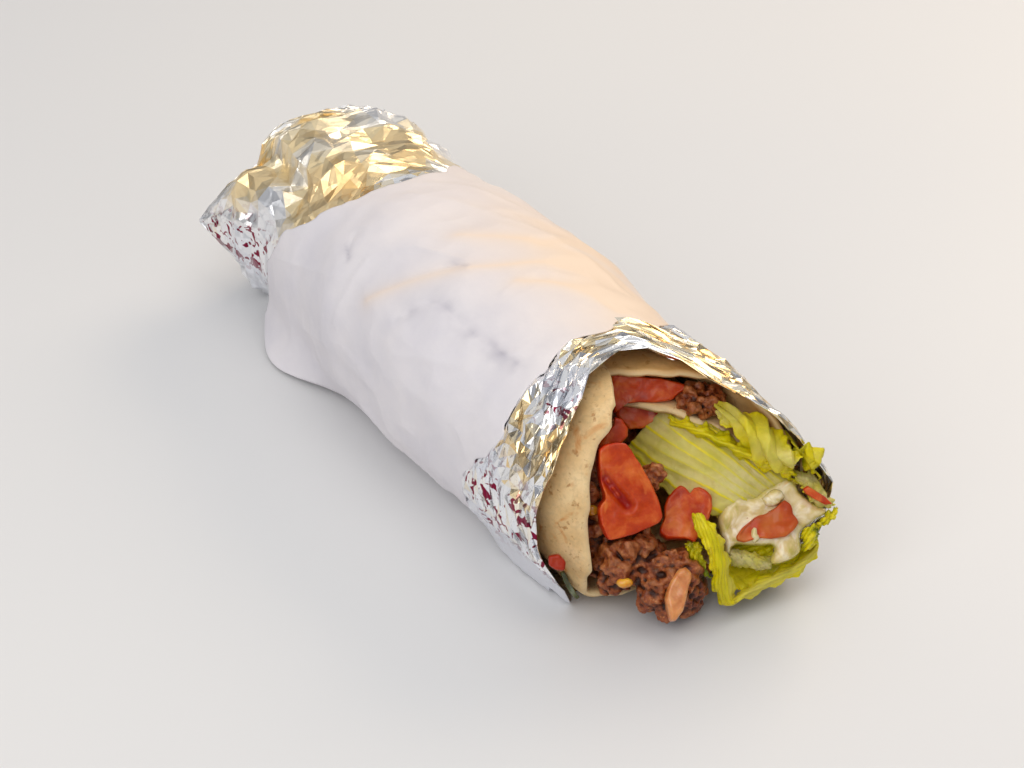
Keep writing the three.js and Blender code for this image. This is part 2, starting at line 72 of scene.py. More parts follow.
# Profiles and paths run in degrees round the roll, or turn by turn along the spiral, with x in millimetres.
MOUTH_EDGE = [
    (92, 62), (97, 72), (105, 79), (115, 84), (139, 88), (163, 92), (199, 95), (212, 92), (224, 90),
    (234, 91.5), (246, 95), (270, 96), (300, 99), (330, 102), (360, 105), (385, 104), (395, 98), (405, 88),
    (420, 80), (430, 75), (443, 69), (452, 64), (480, 68), (540, 73), (600, 79), (660, 88), (700, 95),
    (735, 98), (750, 95), (767, 85), (783, 75), (800, 66),
]
SPIRAL_START = 92
SPIRAL_END = 735
FLAP_START = 750
FLAP_END = 800
FLAP = [(24.4, 41.4), (19, 43.4), (13, 45), (6.5, 45.8), (0.5, 45.2)]
MOUTH_SWELL = {"angle": 42, "spread": 26, "rise": 6.5, "length": 30}
CURL = {"angle": 172, "spread": 48, "depth": 5, "length": 14}
PAPER_FRONT = [
    (0, 50), (38, 48), (58, 54), (63, 56), (73, 49), (86, 54), (96, 52), (119, 58), (156, 61), (167, 58),
    (175, 53), (186, 46), (198, 44), (225, 44), (270, 48), (315, 50), (360, 50),
]
PAPER_BACK = [
    (0, -68), (50, -61), (71, -52), (91, -51), (110, -53), (132, -59), (160, -71), (185, -80), (220, -84),
    (270, -80), (320, -74), (360, -68),
]
PAPER_SPREAD = {"x": -62, "y": -43, "angle": 222, "width": 15, "length": 24}
PAPER_FOLDS = [
    (-45, 125, 0.5, 5, 0.7), (-10, 100, -0.7, 6, 0.8), (20, 135, 0.6, 7, 0.6), (35, 75, -0.4, 5, 0.8),
    (-30, 160, 0.2, 6, 0.7), (5, 200, -0.3, 8, 0.6), (10, 20, 0.5, 7, 0.6), (-40, 330, 0.2, 9, 0.5),
]
FOIL_FRONT = [
    (0, 113), (12, 114), (18, 112), (28, 107), (38, 104.5), (42, 103), (51, 100), (55, 98), (62, 95),
    (67, 88), (71, 84.3), (76, 78), (80, 72), (84, 68), (99, 68), (106, 71), (119, 78.5), (135, 84),
    (150, 86), (165, 86), (178, 84.5), (183, 86), (188, 87.5), (194, 88.5), (204, 88.5), (214, 87.5),
    (224, 86.5), (230, 85.5), (237, 81), (250, 82), (262, 88), (300, 101), (330, 108), (360, 113),
]
FOIL_FLARE = [
    (0, 4.6), (12, 4.4), (22, 2.8), (35, 2.1), (62, 2.1), (75, 2.5), (90, 3.0), (150, 2.4), (185, 1.8),
    (204, -0.4), (228, -0.6), (240, 0.6), (270, 1.2), (330, 2.6), (360, 4.6),
]
FOIL_SHOULDER_X = -98
FOIL_BACK_DEPTH = 17
FOIL_PUFF = 3.5
FOIL_CORNER = np.array([-119.5, -37.5, 21.0])
BODY_SHARE = 0.7
# The solids' own reach, which nothing here passes, and the lowest height of anything.
LOW, HIGH = (np.array(corner) * 1000 + CENTRE + inset for corner, inset in zip(cad_box, (0.15, -0.15)))
LOW[2] = 0.25


# ---- Numbers ----
def lerp(a, b, t):
    return a + (b - a) * t


def bell(x, middle, width):
    return np.exp(-(((x - middle) / width) ** 2))


def smoothstep(x, low, high):
    t = np.clip((x - low) / (high - low), 0, 1)
    return t * t * (3 - 2 * t)


def signed_power(x, power):
    return np.sign(x) * np.abs(x) ** power


def profile(pairs, x):
    """Reads values at x from (x, value) pairs in rising order, easing between them."""
    xs, ys = np.array(pairs, float).T
    x = np.asarray(x, float)
    i = np.clip(np.searchsorted(xs, x), 1, len(xs) - 1)
    return lerp(ys[i - 1], ys[i], smoothstep(x, xs[i - 1], xs[i]))


def stacked(*parts):
    """Points from arrays of their coordinates, spread to one shape."""
    return np.stack(np.broadcast_arrays(*parts), -1)


def unit(v):
    return v / np.maximum(np.linalg.norm(v, axis=-1, keepdims=True), 1e-9)


def lattice(i, seed):
    """Random numbers from -1 to 1 at whole-number places."""
    h = i[..., 0] * 374761393 + i[..., 1] * 668265263 + i[..., 2] * 1440662683 + seed * 974634777
    h = (h ^ (h >> 13)) & 0xFFFFFFFF
    h = (h * 1274126177) & 0xFFFFFFFF
    h = h ^ (h >> 16)
    return (h & 0xFFFF) / 32767.5 - 1


def value_noise(points, size, seed=0):
    """Smooth random numbers from -1 to 1 at points, with bumps about `size` apart."""
    q = np.asarray(points, float) / size
    i = np.floor(q).astype(np.int64)
    f = q - i
    f = f * f * (3 - 2 * f)
    total = 0
    for corner in range(8):
        d = np.array([corner & 1, corner >> 1 & 1, corner >> 2 & 1])
        total = total + np.prod(np.where(d == 1, f, 1 - f), axis=-1) * lattice(i + d, seed)
    return total


def fractal(points, size, octaves, seed=0):
    return sum(value_noise(points, size / 2**k, seed + k) / 2**k for k in range(octaves)) / 1.5


# ---- The roll's form ----
def half_width(x):
    return profile(HALF_WIDTHS, x)


def roll(x, angle, out, scale=1.0):
    """The point at distance `out` outside the roll. Angle 0 is the right side and 90 degrees the top."""
    c, s = np.cos(np.radians(angle)), np.sin(np.radians(angle))
    power = np.where(s > 0, 2 / SQUARENESS_ABOVE, 2 / SQUARENESS_BELOW)
    half_height = HEIGHT_RATIO * half_width(x)
    y = profile(SWEEP, x) + (half_width(x) + out) * scale * signed_power(c, power)
    z = WRAPPING - SINK + half_height + (half_height + out) * scale * signed_power(s, power)
    z = np.maximum(np.maximum(z, WRAPPING - out), 0)
    return stacked(np.asarray(x, float), y, z)


# ---- Meshes ----
def make(name, points, faces, attributes=None, smooth=True):
    """A mesh piece. Its faces are an array, or a list where they have different numbers of corners."""
    mesh = bpy.data.meshes.new(name)
    corners = faces if isinstance(faces, list) else faces.tolist()
    mesh.from_pydata(((points - CENTRE) / 1000).tolist(), [], corners)
    for key, values in (attributes or {}).items():
        values = np.asarray(values, np.float32)
        kind, field = ("FLOAT_VECTOR", "vector") if values.ndim == 2 else ("FLOAT", "value")
        mesh.attributes.new(key, kind, "POINT").data.foreach_set(field, values.ravel())
    mesh.polygons.foreach_set("use_smooth", [smooth] * len(mesh.polygons))
    mesh.update()
    piece = bpy.data.objects.new(name, mesh)
    bpy.context.scene.collection.objects.link(piece)
    return piece


def settle(piece, material, slot, *nodes):
    """Gives a piece its material, hangs it under the root and hides the solids that it stands for. `slot` is
    not used.
    """
    piece.data.materials.append(material)
    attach(piece, "root")
    if nodes:
        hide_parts(*nodes)


def grid_faces(rows, columns, closed):
    i, j = np.meshgrid(np.arange(columns if closed else columns - 1), np.arange(rows - 1))
    a = j * columns + i
    b = j * columns + (i + 1) % columns
    return stacked(a, b, b + columns, a + columns).reshape(-1, 4)


def shell(outer, inner, closed=False):
    """A closed skin between two grids of points of the same shape, as points and faces."""
    rows, columns = outer.shape[:2]
    count = rows * columns
    skin = grid_faces(rows, columns, closed)
    faces = [skin, skin[:, ::-1] + count]
    i = np.arange(columns if closed else columns - 1)
    k = (i + 1) % columns
    last = (rows - 1) * columns
    faces.append(stacked(i, i + count, k + count, k))
    faces.append(stacked(last + k, last + k + count, last + i + count, last + i))
    if not closed:
        j = np.arange(rows - 1) * columns
        faces.append(stacked(j, j + columns, j + columns + count, j + count))
        j = j + columns - 1
        faces.append(stacked(j, j + count, j + columns + count, j + columns))
    return np.concatenate([outer.reshape(-1, 3), inner.reshape(-1, 3)]), np.concatenate(faces)


def normals_of(grid):
    return unit(np.cross(np.gradient(grid, axis=1), np.gradient(grid, axis=0)))


def sheet(middle, thickness, rounding):
    """A thin closed solid about a grid of points, its rim rounded over `rounding` millimetres."""
    side = normals_of(middle)

    def to_edge(axis):
        steps = np.linalg.norm(np.diff(middle, axis=axis), axis=-1)
        pad = [(0, 0), (0, 0)]
        pad[axis] = (1, 0)
        walked = np.pad(np.cumsum(steps, axis=axis), pad)
        return np.minimum(walked, np.take(walked, [-1], axis=axis) - walked)

    inside = np.clip(np.minimum(to_edge(0), to_edge(1)) / rounding, 0, 1)
    half = thickness / 2 * np.sqrt(np.maximum(1 - (1 - inside) ** 2, 0.01))[..., None]
    return shell(middle + side * half, middle - side * half)


# ---- Materials ----
class Nodes:
    """A node tree in the making. An input is given a value, or another node's socket to link to."""

    def __init__(self, tree):
        self.tree = tree

    def node(self, kind, inputs=(), **settings):
        node = self.tree.nodes.new("ShaderNode" + kind)
        for key, value in settings.items():
            setattr(node, key, value)
        for key, value in dict(inputs).items():
            if isinstance(value, bpy.types.NodeSocket):
                self.tree.links.new(value, node.inputs[key])
            else:
                node.inputs[key].default_value = value
        return node

    def ramp(self, fac, *stops):
        """A colour ramp through (position, colour) stops, where a plain number stands for a grey."""
        node = self.node("ValToRGB", {"Fac": fac})
        ramp = node.color_ramp
        while len(ramp.elements) < len(stops):
            ramp.elements.new(0.5)
        for element, (position, colour) in zip(ramp.elements, stops):
            element.position = position
            element.color = colour if isinstance(colour, tuple) else (colour, colour, colour, 1)
        return node.outputs["Color"]


class Shade(Nodes):
    """A Principled material. Values for its own sockets are given by name, and `paint` links its colour."""

    def __init__(self, name, **values):
        self.material = bpy.data.materials.new(name)
        self.material.use_nodes = True
        super().__init__(self.material.node_tree)
        self.surface = self.tree.nodes["Principled BSDF"]
        for key, value in values.items():
            self.surface.inputs[key.replace("_", " ")].default_value = value
        self.place = self.node("TexCoord").outputs["Object"]

    def noise(self, size, detail=3.0, roughness=0.55, distortion=0.0):
        """Noise whose spots are about `size` millimetres apart."""
        place = self.node("Mapping", {"Vector": self.place}).outputs["Vector"]
        spots = {"Scale": 1000 / size, "Detail": detail, "Roughness": roughness, "Distortion": distortion}
        return self.node("TexNoise", {"Vector": place, **spots}).outputs["Fac"]

    def vector(self, operation, a, b, output="Vector"):
        return self.node("VectorMath", {0: a, 1: b}, operation=operation).outputs[output]

    def facets(self, size, slope):
        """A height in metres that tilts each cell of a crumpled sheet flat, its own way."""
        place = self.node("Attribute", attribute_name="unrolled").outputs["Vector"]
        cell = self.node("TexVoronoi", {"Vector": place, "Scale": 1000 / size}, feature="F1").outputs
        away = self.vector("SUBTRACT", place, cell["Position"])
        way = self.vector("SUBTRACT", cell["Color"], (0.5, 0.5, 0.5))
        return self.maths("MULTIPLY", self.vector("DOT_PRODUCT", away, way, "Value"), slope, False)

    def mix(self, fac, under, over):
        return self.node("Mix", {0: fac, 6: under, 7: over}, data_type="RGBA").outputs[2]

    def source(self, what):
        """A share from 0 to 1: by an attribute's name, by noise settings, or by the size of cells."""
        if isinstance(what, str):
            return self.node("Attribute", attribute_name=what).outputs["Fac"]
        if isinstance(what, tuple):
            return self.noise(*what)
        cells = {"Vector": self.place, "Scale": 1000 / what}
        return self.node("TexVoronoi", cells, feature="F1").outputs["Distance"]

    def maths(self, operation, a, b, clamp=True):
        return self.node("Math", {0: a, 1: b}, operation=operation, use_clamp=clamp).outputs[0]

    def paint(self, colour):
        self.tree.links.new(colour, self.surface.inputs["Base Color"])

    def rough(self, fac, low, high):
        wanted = self.node("MapRange", {"Value": fac, "To Min": low, "To Max": high}).outputs["Result"]
        self.tree.links.new(wanted, self.surface.inputs["Roughness"])

    def bump(self, *heights, strength=0.5):
        """Bumps of the given heights, each (socket, depth in millimetres)."""
        normal = {}
        for height, depth in heights:
            inputs = {"Height": height, "Strength": strength, "Distance": depth / 1000, **normal}
            normal = {"Normal": self.node("Bump", inputs).outputs["Normal"]}
        self.tree.links.new(normal["Normal"], self.surface.inputs["Normal"])


def srgb(*rgb):
    """A colour of three parts from 0 to 255, as linear values with a 1 after them."""
    return (*(((v / 255 + 0.055) / 1.055) ** 2.4 if v > 10 else v / 255 / 12.92 for v in rgb), 1)


def foil_material():
    """Silver, painted gold by reflected warm light facet by facet, with dark maroon flecks and a plain
    smooth stretch.
    """
    shade = Shade("crumpled_foil", Metallic=1.0, Roughness=0.2)
    # Painted reflection: the facet share turns the silver to gold.
    metal = shade.ramp(
        shade.source("painted_gold_reflection"), (0.0, srgb(234, 237, 246)), (0.42, srgb(252, 252, 252)),
        (0.6, srgb(250, 230, 186)), (1.0, srgb(240, 190, 112)),
    )
    spots = shade.ramp(shade.noise(3.0, 1.5, 0.6, 0.8), (0.56, 0.0), (0.59, 1.0))
    metal = shade.mix(shade.maths("MULTIPLY", shade.source("fleck"), spots), metal, srgb(136, 30, 62))
    plain = shade.source("plain")
    shade.paint(shade.mix(plain, metal, srgb(240, 240, 244)))
    soft = shade.maths("MULTIPLY", shade.source("soft"), 0.24)
    ease = shade.maths("ADD", shade.maths("MULTIPLY", plain, 0.35), soft)
    shade.rough(shade.maths("ADD", shade.maths("MULTIPLY", shade.noise(5, 2), 0.2), ease), 0.06, 0.9)
    keep = shade.maths("SUBTRACT", 1.0, plain)
    cells = (3.2, 0.6), (1.6, 0.35)
    tilts = [(shade.maths("MULTIPLY", shade.facets(*cell), keep, False), 1000) for cell in cells]
    shade.bump(*tilts, (shade.noise(0.9, 2), 0.03), strength=1.0)
    return shade.material


# Foods and paper, with colours in three parts from 0 to 255. `base` is a source and its (position, colour)
# stops. Each layer is a source, a colour and (position, share) stops, or none where the source is the share.
# Each bump is a source and a depth in millimetres, and `gloss` a source with the least and most roughness.
FOODS = {
    "greaseproof_paper": dict(
        base=((16, 4), (0.3, 220, 216, 221), (0.7, 230, 225, 227)),
        # Painted warm light of the lamp, then grey smudges with painted shade in valley creases.
        layers=(("warm", (240, 216, 192)), ("stain", (168, 164, 176))),
        bumps=(((5, 5, 0.6), 0.25), ((0.7, 2), 0.03)),
        Roughness=0.55, IOR=1.45,
    ),
    "flour_tortilla": dict(
        base=((10, 4), (0.3, 214, 176, 118), (0.5, 228, 192, 136), (0.7, 238, 208, 156)),
        layers=(
            ((1.6, 4, 0.7), (188, 160, 116), (0.45, 0.0), (0.7, 0.5)),
            ((2.4, 3, 0.6, 0.4), (172, 120, 64), (0.6, 0.0), (0.69, 0.85)),
            ((7, 3, 0.6, 0.6), (204, 134, 62), (0.57, 0.0), (0.72, 0.9)),
            # The next-to-last layer is painted warm light of the lamp on the top turns.
            ("golden", (228, 164, 78)), ("edge", (232, 208, 160)),
        ),
        bumps=(((5, 3), 0.6), ((1.1, 3), 0.15)), strength=0.45,
        Roughness=0.6, Subsurface_Weight=0.1, Subsurface_Scale=0.003, Subsurface_Radius=(1.0, 0.6, 0.3),
    ),
    "cut_tomato": dict(
        base=((7, 4, 0.6, 0.3), (0.3, 160, 42, 4), (0.48, 188, 62, 12), (0.7, 216, 108, 42)),
        layers=(
            ((7, 3, 0.6, 1.2), (226, 132, 60), (0.55, 0.0), (0.7, 0.45)),
            # The gel colour darkens the seed pocket, and is painted shade on the bit under the foil.
            ("rim", (192, 42, 10)), ("gel", (150, 20, 4)), ("pale", (180, 98, 36)),
        ),
        bumps=(((2.4, 3), 0.35), ((0.5, 2), 0.05)),
        Roughness=0.28, Specular_IOR_Level=0.3,
        Subsurface_Weight=0.2, Subsurface_Scale=0.002, Subsurface_Radius=(1.0, 0.25, 0.1),
    ),
    "browned_beef": dict(
        base=(
            (2.0, 5, 0.7, 0.5), (0.3, 78, 26, 6), (0.46, 130, 60, 22), (0.6, 166, 90, 40),
            (0.76, 226, 166, 104),
        ),
        layers=(
            # Painted shade in the hollows and the lower heap, and painted highlights on the crests, both by
            # tone.
            ("tone", (32, 9, 3), (0.1, 0.92), (0.45, 0.0)),
            ("tone", (206, 138, 84), (0.62, 0.0), (0.95, 0.3)),
            ((9, 2), (134, 52, 26), (0.5, 0.0), (0.7, 0.35)),
        ),
        gloss=((2.5, 2), 0.2, 0.5), bumps=(((1.1, 5, 0.75), 0.5), (0.7, 0.2)), strength=0.7,
        Roughness=0.4, Specular_IOR_Level=0.35, Coat_Weight=0.15, Coat_Roughness=0.2,
    ),
    "crisp_lettuce": dict(
        # Tone runs from pale to dark green; its dark end also serves as painted shade in the leaf grooves.
        base=(
            "tone", (0.0, 214, 202, 140), (0.3, 208, 196, 84), (0.55, 230, 212, 18), (0.8, 186, 178, 4),
            (1.0, 92, 108, 10),
        ),
        layers=(((5, 3, 0.6, 0.6), (166, 162, 34), (0.45, 0.0), (0.75, 0.4)),),
        bumps=(((2.2, 4, 0.6, 0.8), 0.5), ((0.6, 2), 0.08)),
        Roughness=0.34, Specular_IOR_Level=0.25,
        Subsurface_Weight=0.4, Subsurface_Scale=0.003, Subsurface_Radius=(0.7, 1.0, 0.25),
    ),
    "cream_dressing": dict(
        base=(
            (6, 3, 0.55, 0.8), (0.32, 190, 174, 84), (0.46, 220, 196, 134), (0.6, 244, 228, 196),
            (0.75, 238, 182, 116),
        ),
        layers=(
            ("thick", (204, 190, 100), (0.35, 0.75), (0.85, 0.0)),
            ((2.6, 1), (150, 64, 30), (0.76, 0.0), (0.79, 0.8)),
        ),
        bumps=(((3.4, 3), 0.5),),
        Roughness=0.2, Coat_Weight=0.4, Coat_Roughness=0.12,
        Subsurface_Weight=0.4, Subsurface_Scale=0.004, Subsurface_Radius=(1.0, 0.8, 0.5),
    ),
    "packed_lettuce": dict(
        base=((5, 4), (0.3, 120, 128, 50), (0.7, 176, 180, 96)),
        bumps=(((3, 4), 0.6),), strength=0.6, Roughness=0.5,
    ),
}
for food, size, dark, light in (
    ("soft_onion", 3.5, (188, 104, 46), (228, 158, 92)), ("green_peel", 2.5, (40, 46, 16), (84, 92, 26)),
    ("sweet_corn", 2.5, (204, 128, 16), (236, 176, 44)),
):
    FOODS[food] = dict(
        base=((size, 3, 0.6, 0.4), (0.3, *dark), (0.7, *light)), bumps=(((size / 2, 3), 0.3),),
        Roughness=0.3, Subsurface_Weight=0.3, Subsurface_Scale=0.003, Coat_Weight=0.4, Coat_Roughness=0.15,
    )


def mixed(name, base, layers=(), gloss=None, bumps=(), strength=0.5, **values):
    shade = Shade(name, **values)
    colour = shade.ramp(shade.source(base[0]), *[(at, srgb(*rgb)) for at, *rgb in base[1:]])
    for source, over, *stops in layers:
        share = shade.source(source)
        colour = shade.mix(shade.ramp(share, *stops) if stops else share, colour, srgb(*over))
    shade.paint(colour)
    if gloss:
        shade.rough(shade.source(gloss[0]), *gloss[1:])
    shade.bump(*[(shade.source(source), depth) for source, depth in bumps], strength=strength)
    return shade.material


def food_material(name):
    return mixed(name, **FOODS[name])


# ---- Paper sleeve ----
# Creases as paths of (x, degrees round the roll), with a height and a width.
CREASES = [
    ([(-22.4, 133), (-23.1, 172)], 0.5, 1.6), ([(-12, 148), (7.8, 106)], 0.55, 1.5),
    ([(-15, 115), (6, 103), (26, 90), (47.5, 73)], 0.5, 1.8),
    ([(24, 103.5), (20.7, 88), (27.5, 76)], 0.5, 1.6), ([(3, 146), (11, 126.5), (22, 125)], -0.45, 1.8),
    ([(41.5, 168), (48.3, 177)], 0.35, 1.3), ([(-30, 140), (-36, 128)], -0.4, 1.2),
    ([(2, 112), (8, 104)], -0.4, 1.2), ([(-60, 100), (-20, 60), (10, 48)], 0.4, 2.4),
    ([(-40, 95), (0, 70), (40, 52)], 0.4, 2.0), ([(-50, 190), (-20, 178), (20, 186)], 0.5, 2.0),
    ([(-70, 170), (-30, 150)], 0.4, 2.0), ([(10, 160), (35, 140), (45, 118)], 0.35, 2.2),
    ([(-10, 200), (30, 215)], 0.5, 2.2), ([(-55, 20), (0, 10), (45, 25)], 0.45, 2.2),
    ([(-30, 350), (20, 335)], 0.4, 2.4), ([(-60, 60), (-48, 20)], 0.4, 1.8), ([(0, 30), (30, 5)], 0.4, 1.8),
    ([(-45, 300), (10, 290)], 0.3, 2.4),
]
CREASE_HEIGHT, CREASE_WIDTH = 1.3, 0.85
# Painted warm light along three soft folds, with a strength and a width.
PAINTED_WARM_STREAKS = [
    ([(-12, 148), (8.5, 107), (15, 90), (19.5, 78), (28, 62), (40, 52)], 0.6, 2.2),
    ([(22, 95.5), (30.5, 82), (36.5, 74.5), (44.5, 70)], 0.6, 1.8),
    ([(-8, 97), (8, 75.5), (10, 55), (20, 42)], 0.5, 2.6),
]
# Grey marks, with a strength and a width: a smudge, and painted shade along three valley creases.
SMUDGES_AND_CREASE_SHADE = [
    ([(29.6, 125.5), (48.3, 121.5)], 0.75, 3), ([(-36, 134), (-29.6, 138)], 0.8, 0.9),
    ([(3, 109), (8, 106)], 1.0, 1.0), ([(3, 146), (11, 126.5), (22, 125)], 0.45, 2.4),
]
PAPER_COLUMNS, PAPER_ROWS = 310, 145
PAPER_SHEET = 0.3
# Broad creases of the whole sheet, with a size, a depth and a seed.
PAPER_CRUMPLE = ((24, 0.5, 1), (11, 0.3, 2), (6, 0.1, 3))


def near_path(x, angle, path, width):
    """1 on a path over the paper, falling to 0 away from it. `arc` is the paper's mean radius."""
    arc = 34.0
    nearest = np.full(x.shape, 1e9)
    for (x0, a0), (x1, a1) in zip(path, path[1:]):
        start, step = np.array([x0, np.radians(a0) * arc]), np.array([x1 - x0, np.radians(a1 - a0) * arc])
        gap = (np.radians(angle) * arc - start[1] + np.pi * arc) % (2 * np.pi * arc) - np.pi * arc
        dx = x - start[0]
        t = np.clip((dx * step[0] + gap * step[1]) / (step @ step), 0, 1)
        nearest = np.minimum(nearest, np.hypot(dx - t * step[0], gap - t * step[1]))
    return np.exp(-nearest / width)


def traced(x, angle, paths):
    return sum(strength * near_path(x, angle, path, width) for path, strength, width in paths)


def paper_sleeve():
    round_it = np.linspace(0, 360, PAPER_COLUMNS, endpoint=False)
    angle, along = np.meshgrid(round_it, np.linspace(0, 1, PAPER_ROWS))
    ragged = 0.7 * value_noise(stacked(angle / 4, 0, 0), 1.0, 5)
    x = lerp(profile(PAPER_FRONT, angle) + ragged, profile(PAPER_BACK, angle) - ragged, along)
    height = 0 * x
    for x0, angle0, slant, width, rise in PAPER_FOLDS:
        arc = np.radians((angle - angle0 + 540) % 360 - 180) * half_width(x)
        height += rise * bell(x - x0 - slant * arc, 0, width) * bell(arc, 0, 26)
    creases = [(path, CREASE_HEIGHT * rise, CREASE_WIDTH * width) for path, rise, width in CREASES]
    height += traced(x, angle, creases)
    base = roll(x, angle, WRAPPING)
    for size, depth, seed in PAPER_CRUMPLE:
        height -= depth * (np.abs(value_noise(base, size, seed)) * 2 - 0.6)
    edges = smoothstep(x[:1] - x, 0.5, 9) * smoothstep(x - x[-1:], 0.5, 9)
    height = lerp(0.1, np.clip(height, -0.55, 1.1), edges)

    def face(inward):
        p = roll(x, angle, WRAPPING + height - inward)
        spread = PAPER_SPREAD
        pull = 0.8 * bell(angle, spread["angle"], spread["width"]) * bell(x, spread["x"], spread["length"])
        aim = stacked(p[..., 0], spread["y"] + inward, inward)
        return np.clip(lerp(p, aim, pull[..., None]), LOW * (1, 1, 0) + inward, HIGH - inward)

    points, faces = shell(face(0), face(PAPER_SHEET), closed=True)
    # Painted light: the lamp's warm glow over the upper right side, in streaks, and along three soft folds.
    streaks = 0.5 + 0.5 * value_noise(stacked((x + 0.8 * angle) / 7, angle / 60, 0), 1.0, 9)
    warm = bell(angle, 58, 26) * smoothstep(x, -50, 30) * (0.35 + 0.65 * streaks)
    warm += 0.3 * bell(angle, 62, 44) + traced(x, angle, PAINTED_WARM_STREAKS)
    # Partly grey smudges, partly painted shade in the valley creases of the paper.
    stain = traced(x, angle, SMUDGES_AND_CREASE_SHADE) * np.clip(0.4 + 0.9 * fractal(base, 4.0, 3, 12), 0, 1)
    shares = {"warm": warm, "stain": stain}
    both = {key: np.tile(np.clip(share, 0, 1).ravel(), 2) for key, share in shares.items()}
    return make("paper_sleeve_fine", points, faces, both)


# ---- Foil ----
# Its flat size, and where its edges meet in degrees round the roll.
FOIL_AROUND, FOIL_ALONG, FOIL_SEAM = 215.0, 250.0, 270.0
FOIL_SHEET = 0.25
# Facet sizes round the roll and along it, each up to a share of the length.
FOIL_FACETS = ((0.34, 4.2, 2.2), (0.5, 7.0, 6.0), (1, 4.4, 3.2))
# Long folds of the closed end: degrees, width and height.
FOIL_FOLDS = ((127, 6, -6.5), (108, 9, 1.5), (148, 8, 1.2), (84, 4, -1.6), (58, 4, -1.4), (160, 4, -2.0))


def foil_point(angle, v, lift):
    """A point of the foil: v runs from its front edge at 0 to its closed end at 1, and lift raises it."""
    front, cover, paper_end = (profile(edge, angle) for edge in (FOIL_FRONT, PAPER_FRONT, PAPER_BACK))
    back = np.maximum((v - BODY_SHARE) / (1 - BODY_SHARE), 0)
    closing = back * np.pi / 2
    x = lerp(front, FOIL_SHOULDER_X, np.minimum(v / BODY_SHARE, 1) ** 1.25)
    x = x - FOIL_BACK_DEPTH * np.sin(closing) ** 1.3
    band = np.clip((x - cover) / (front - cover), 0, 1)
    behind = smoothstep(paper_end - 4 - x, 0, 16)
    puff = behind * (FOIL_PUFF * bell(angle, 110, 65) + 1.2)
    showing = np.maximum(np.minimum(band * 9, 1), behind)
    tucked = 1.4 * bell(x, cover, 5) * (1 - band) + 1.4 * smoothstep(x - cover, -0.5, 2)
    tucked = tucked + 1.5 * bell(x, paper_end, 4) + 1.2 * smoothstep(paper_end - x, 0, 3)
    out = FOIL_GAP + FOIL_THICKNESS + profile(FOIL_FLARE, angle) * band**0.75 + puff + tucked
    out = out + lift * np.maximum(showing, 0.08)
    p = roll(x, angle, out, np.maximum(np.cos(closing), 0) ** 0.5)
    sag = bell(angle, lerp(219, 231, band), lerp(13, 7, band)) * smoothstep(band, 0.02, 0.35)
    p = p + (sag * lerp(6.4, 4.6, band))[..., None] * np.array([0, -0.16, -1])
    p[..., 2] = np.maximum(p[..., 2], LOW[2])
    pull = 0.78 * bell(angle, 168, 32) * np.maximum(np.sin(np.pi * back**0.7), 0) ** 2
    return np.clip(lerp(p, FOIL_CORNER, pull[..., None]), LOW, HIGH)


def triangles_over(points, edges=(), apart=1e-5):
    """Delaunay triangles over flat points, inside the edges where there are any."""
    inside = 1 if edges else 0
    found = geometry.delaunay_2d_cdt([Vector(p) for p in points], list(edges), [], inside, apart)
    return np.array([tuple(v) for v in found[0]]), np.array(found[2])


def foil_places(random):
    """Uneven points over the flat foil, and its triangles."""
    flat = []
    s = 0.0
    while s < FOIL_ALONG:
        long, step = next(sizes for end, *sizes in FOIL_FACETS if s / FOIL_ALONG < end)
        count = int(FOIL_AROUND / long)
        offsets = (np.arange(count) + random.uniform(0.05, 0.95, count)) / count * FOIL_AROUND
        shift = random.uniform(-0.4, 0.4, count) * step * (s > 0)
        flat += list(zip(np.clip(offsets, 0.8, FOIL_AROUND - 0.8), np.clip(s + shift, 0, FOIL_ALONG - 1)))
        flat += [(0.0, s), (FOIL_AROUND, s)]
        s += step
    return triangles_over(flat + [(a, FOIL_ALONG) for a in np.linspace(0, FOIL_AROUND, 40)])


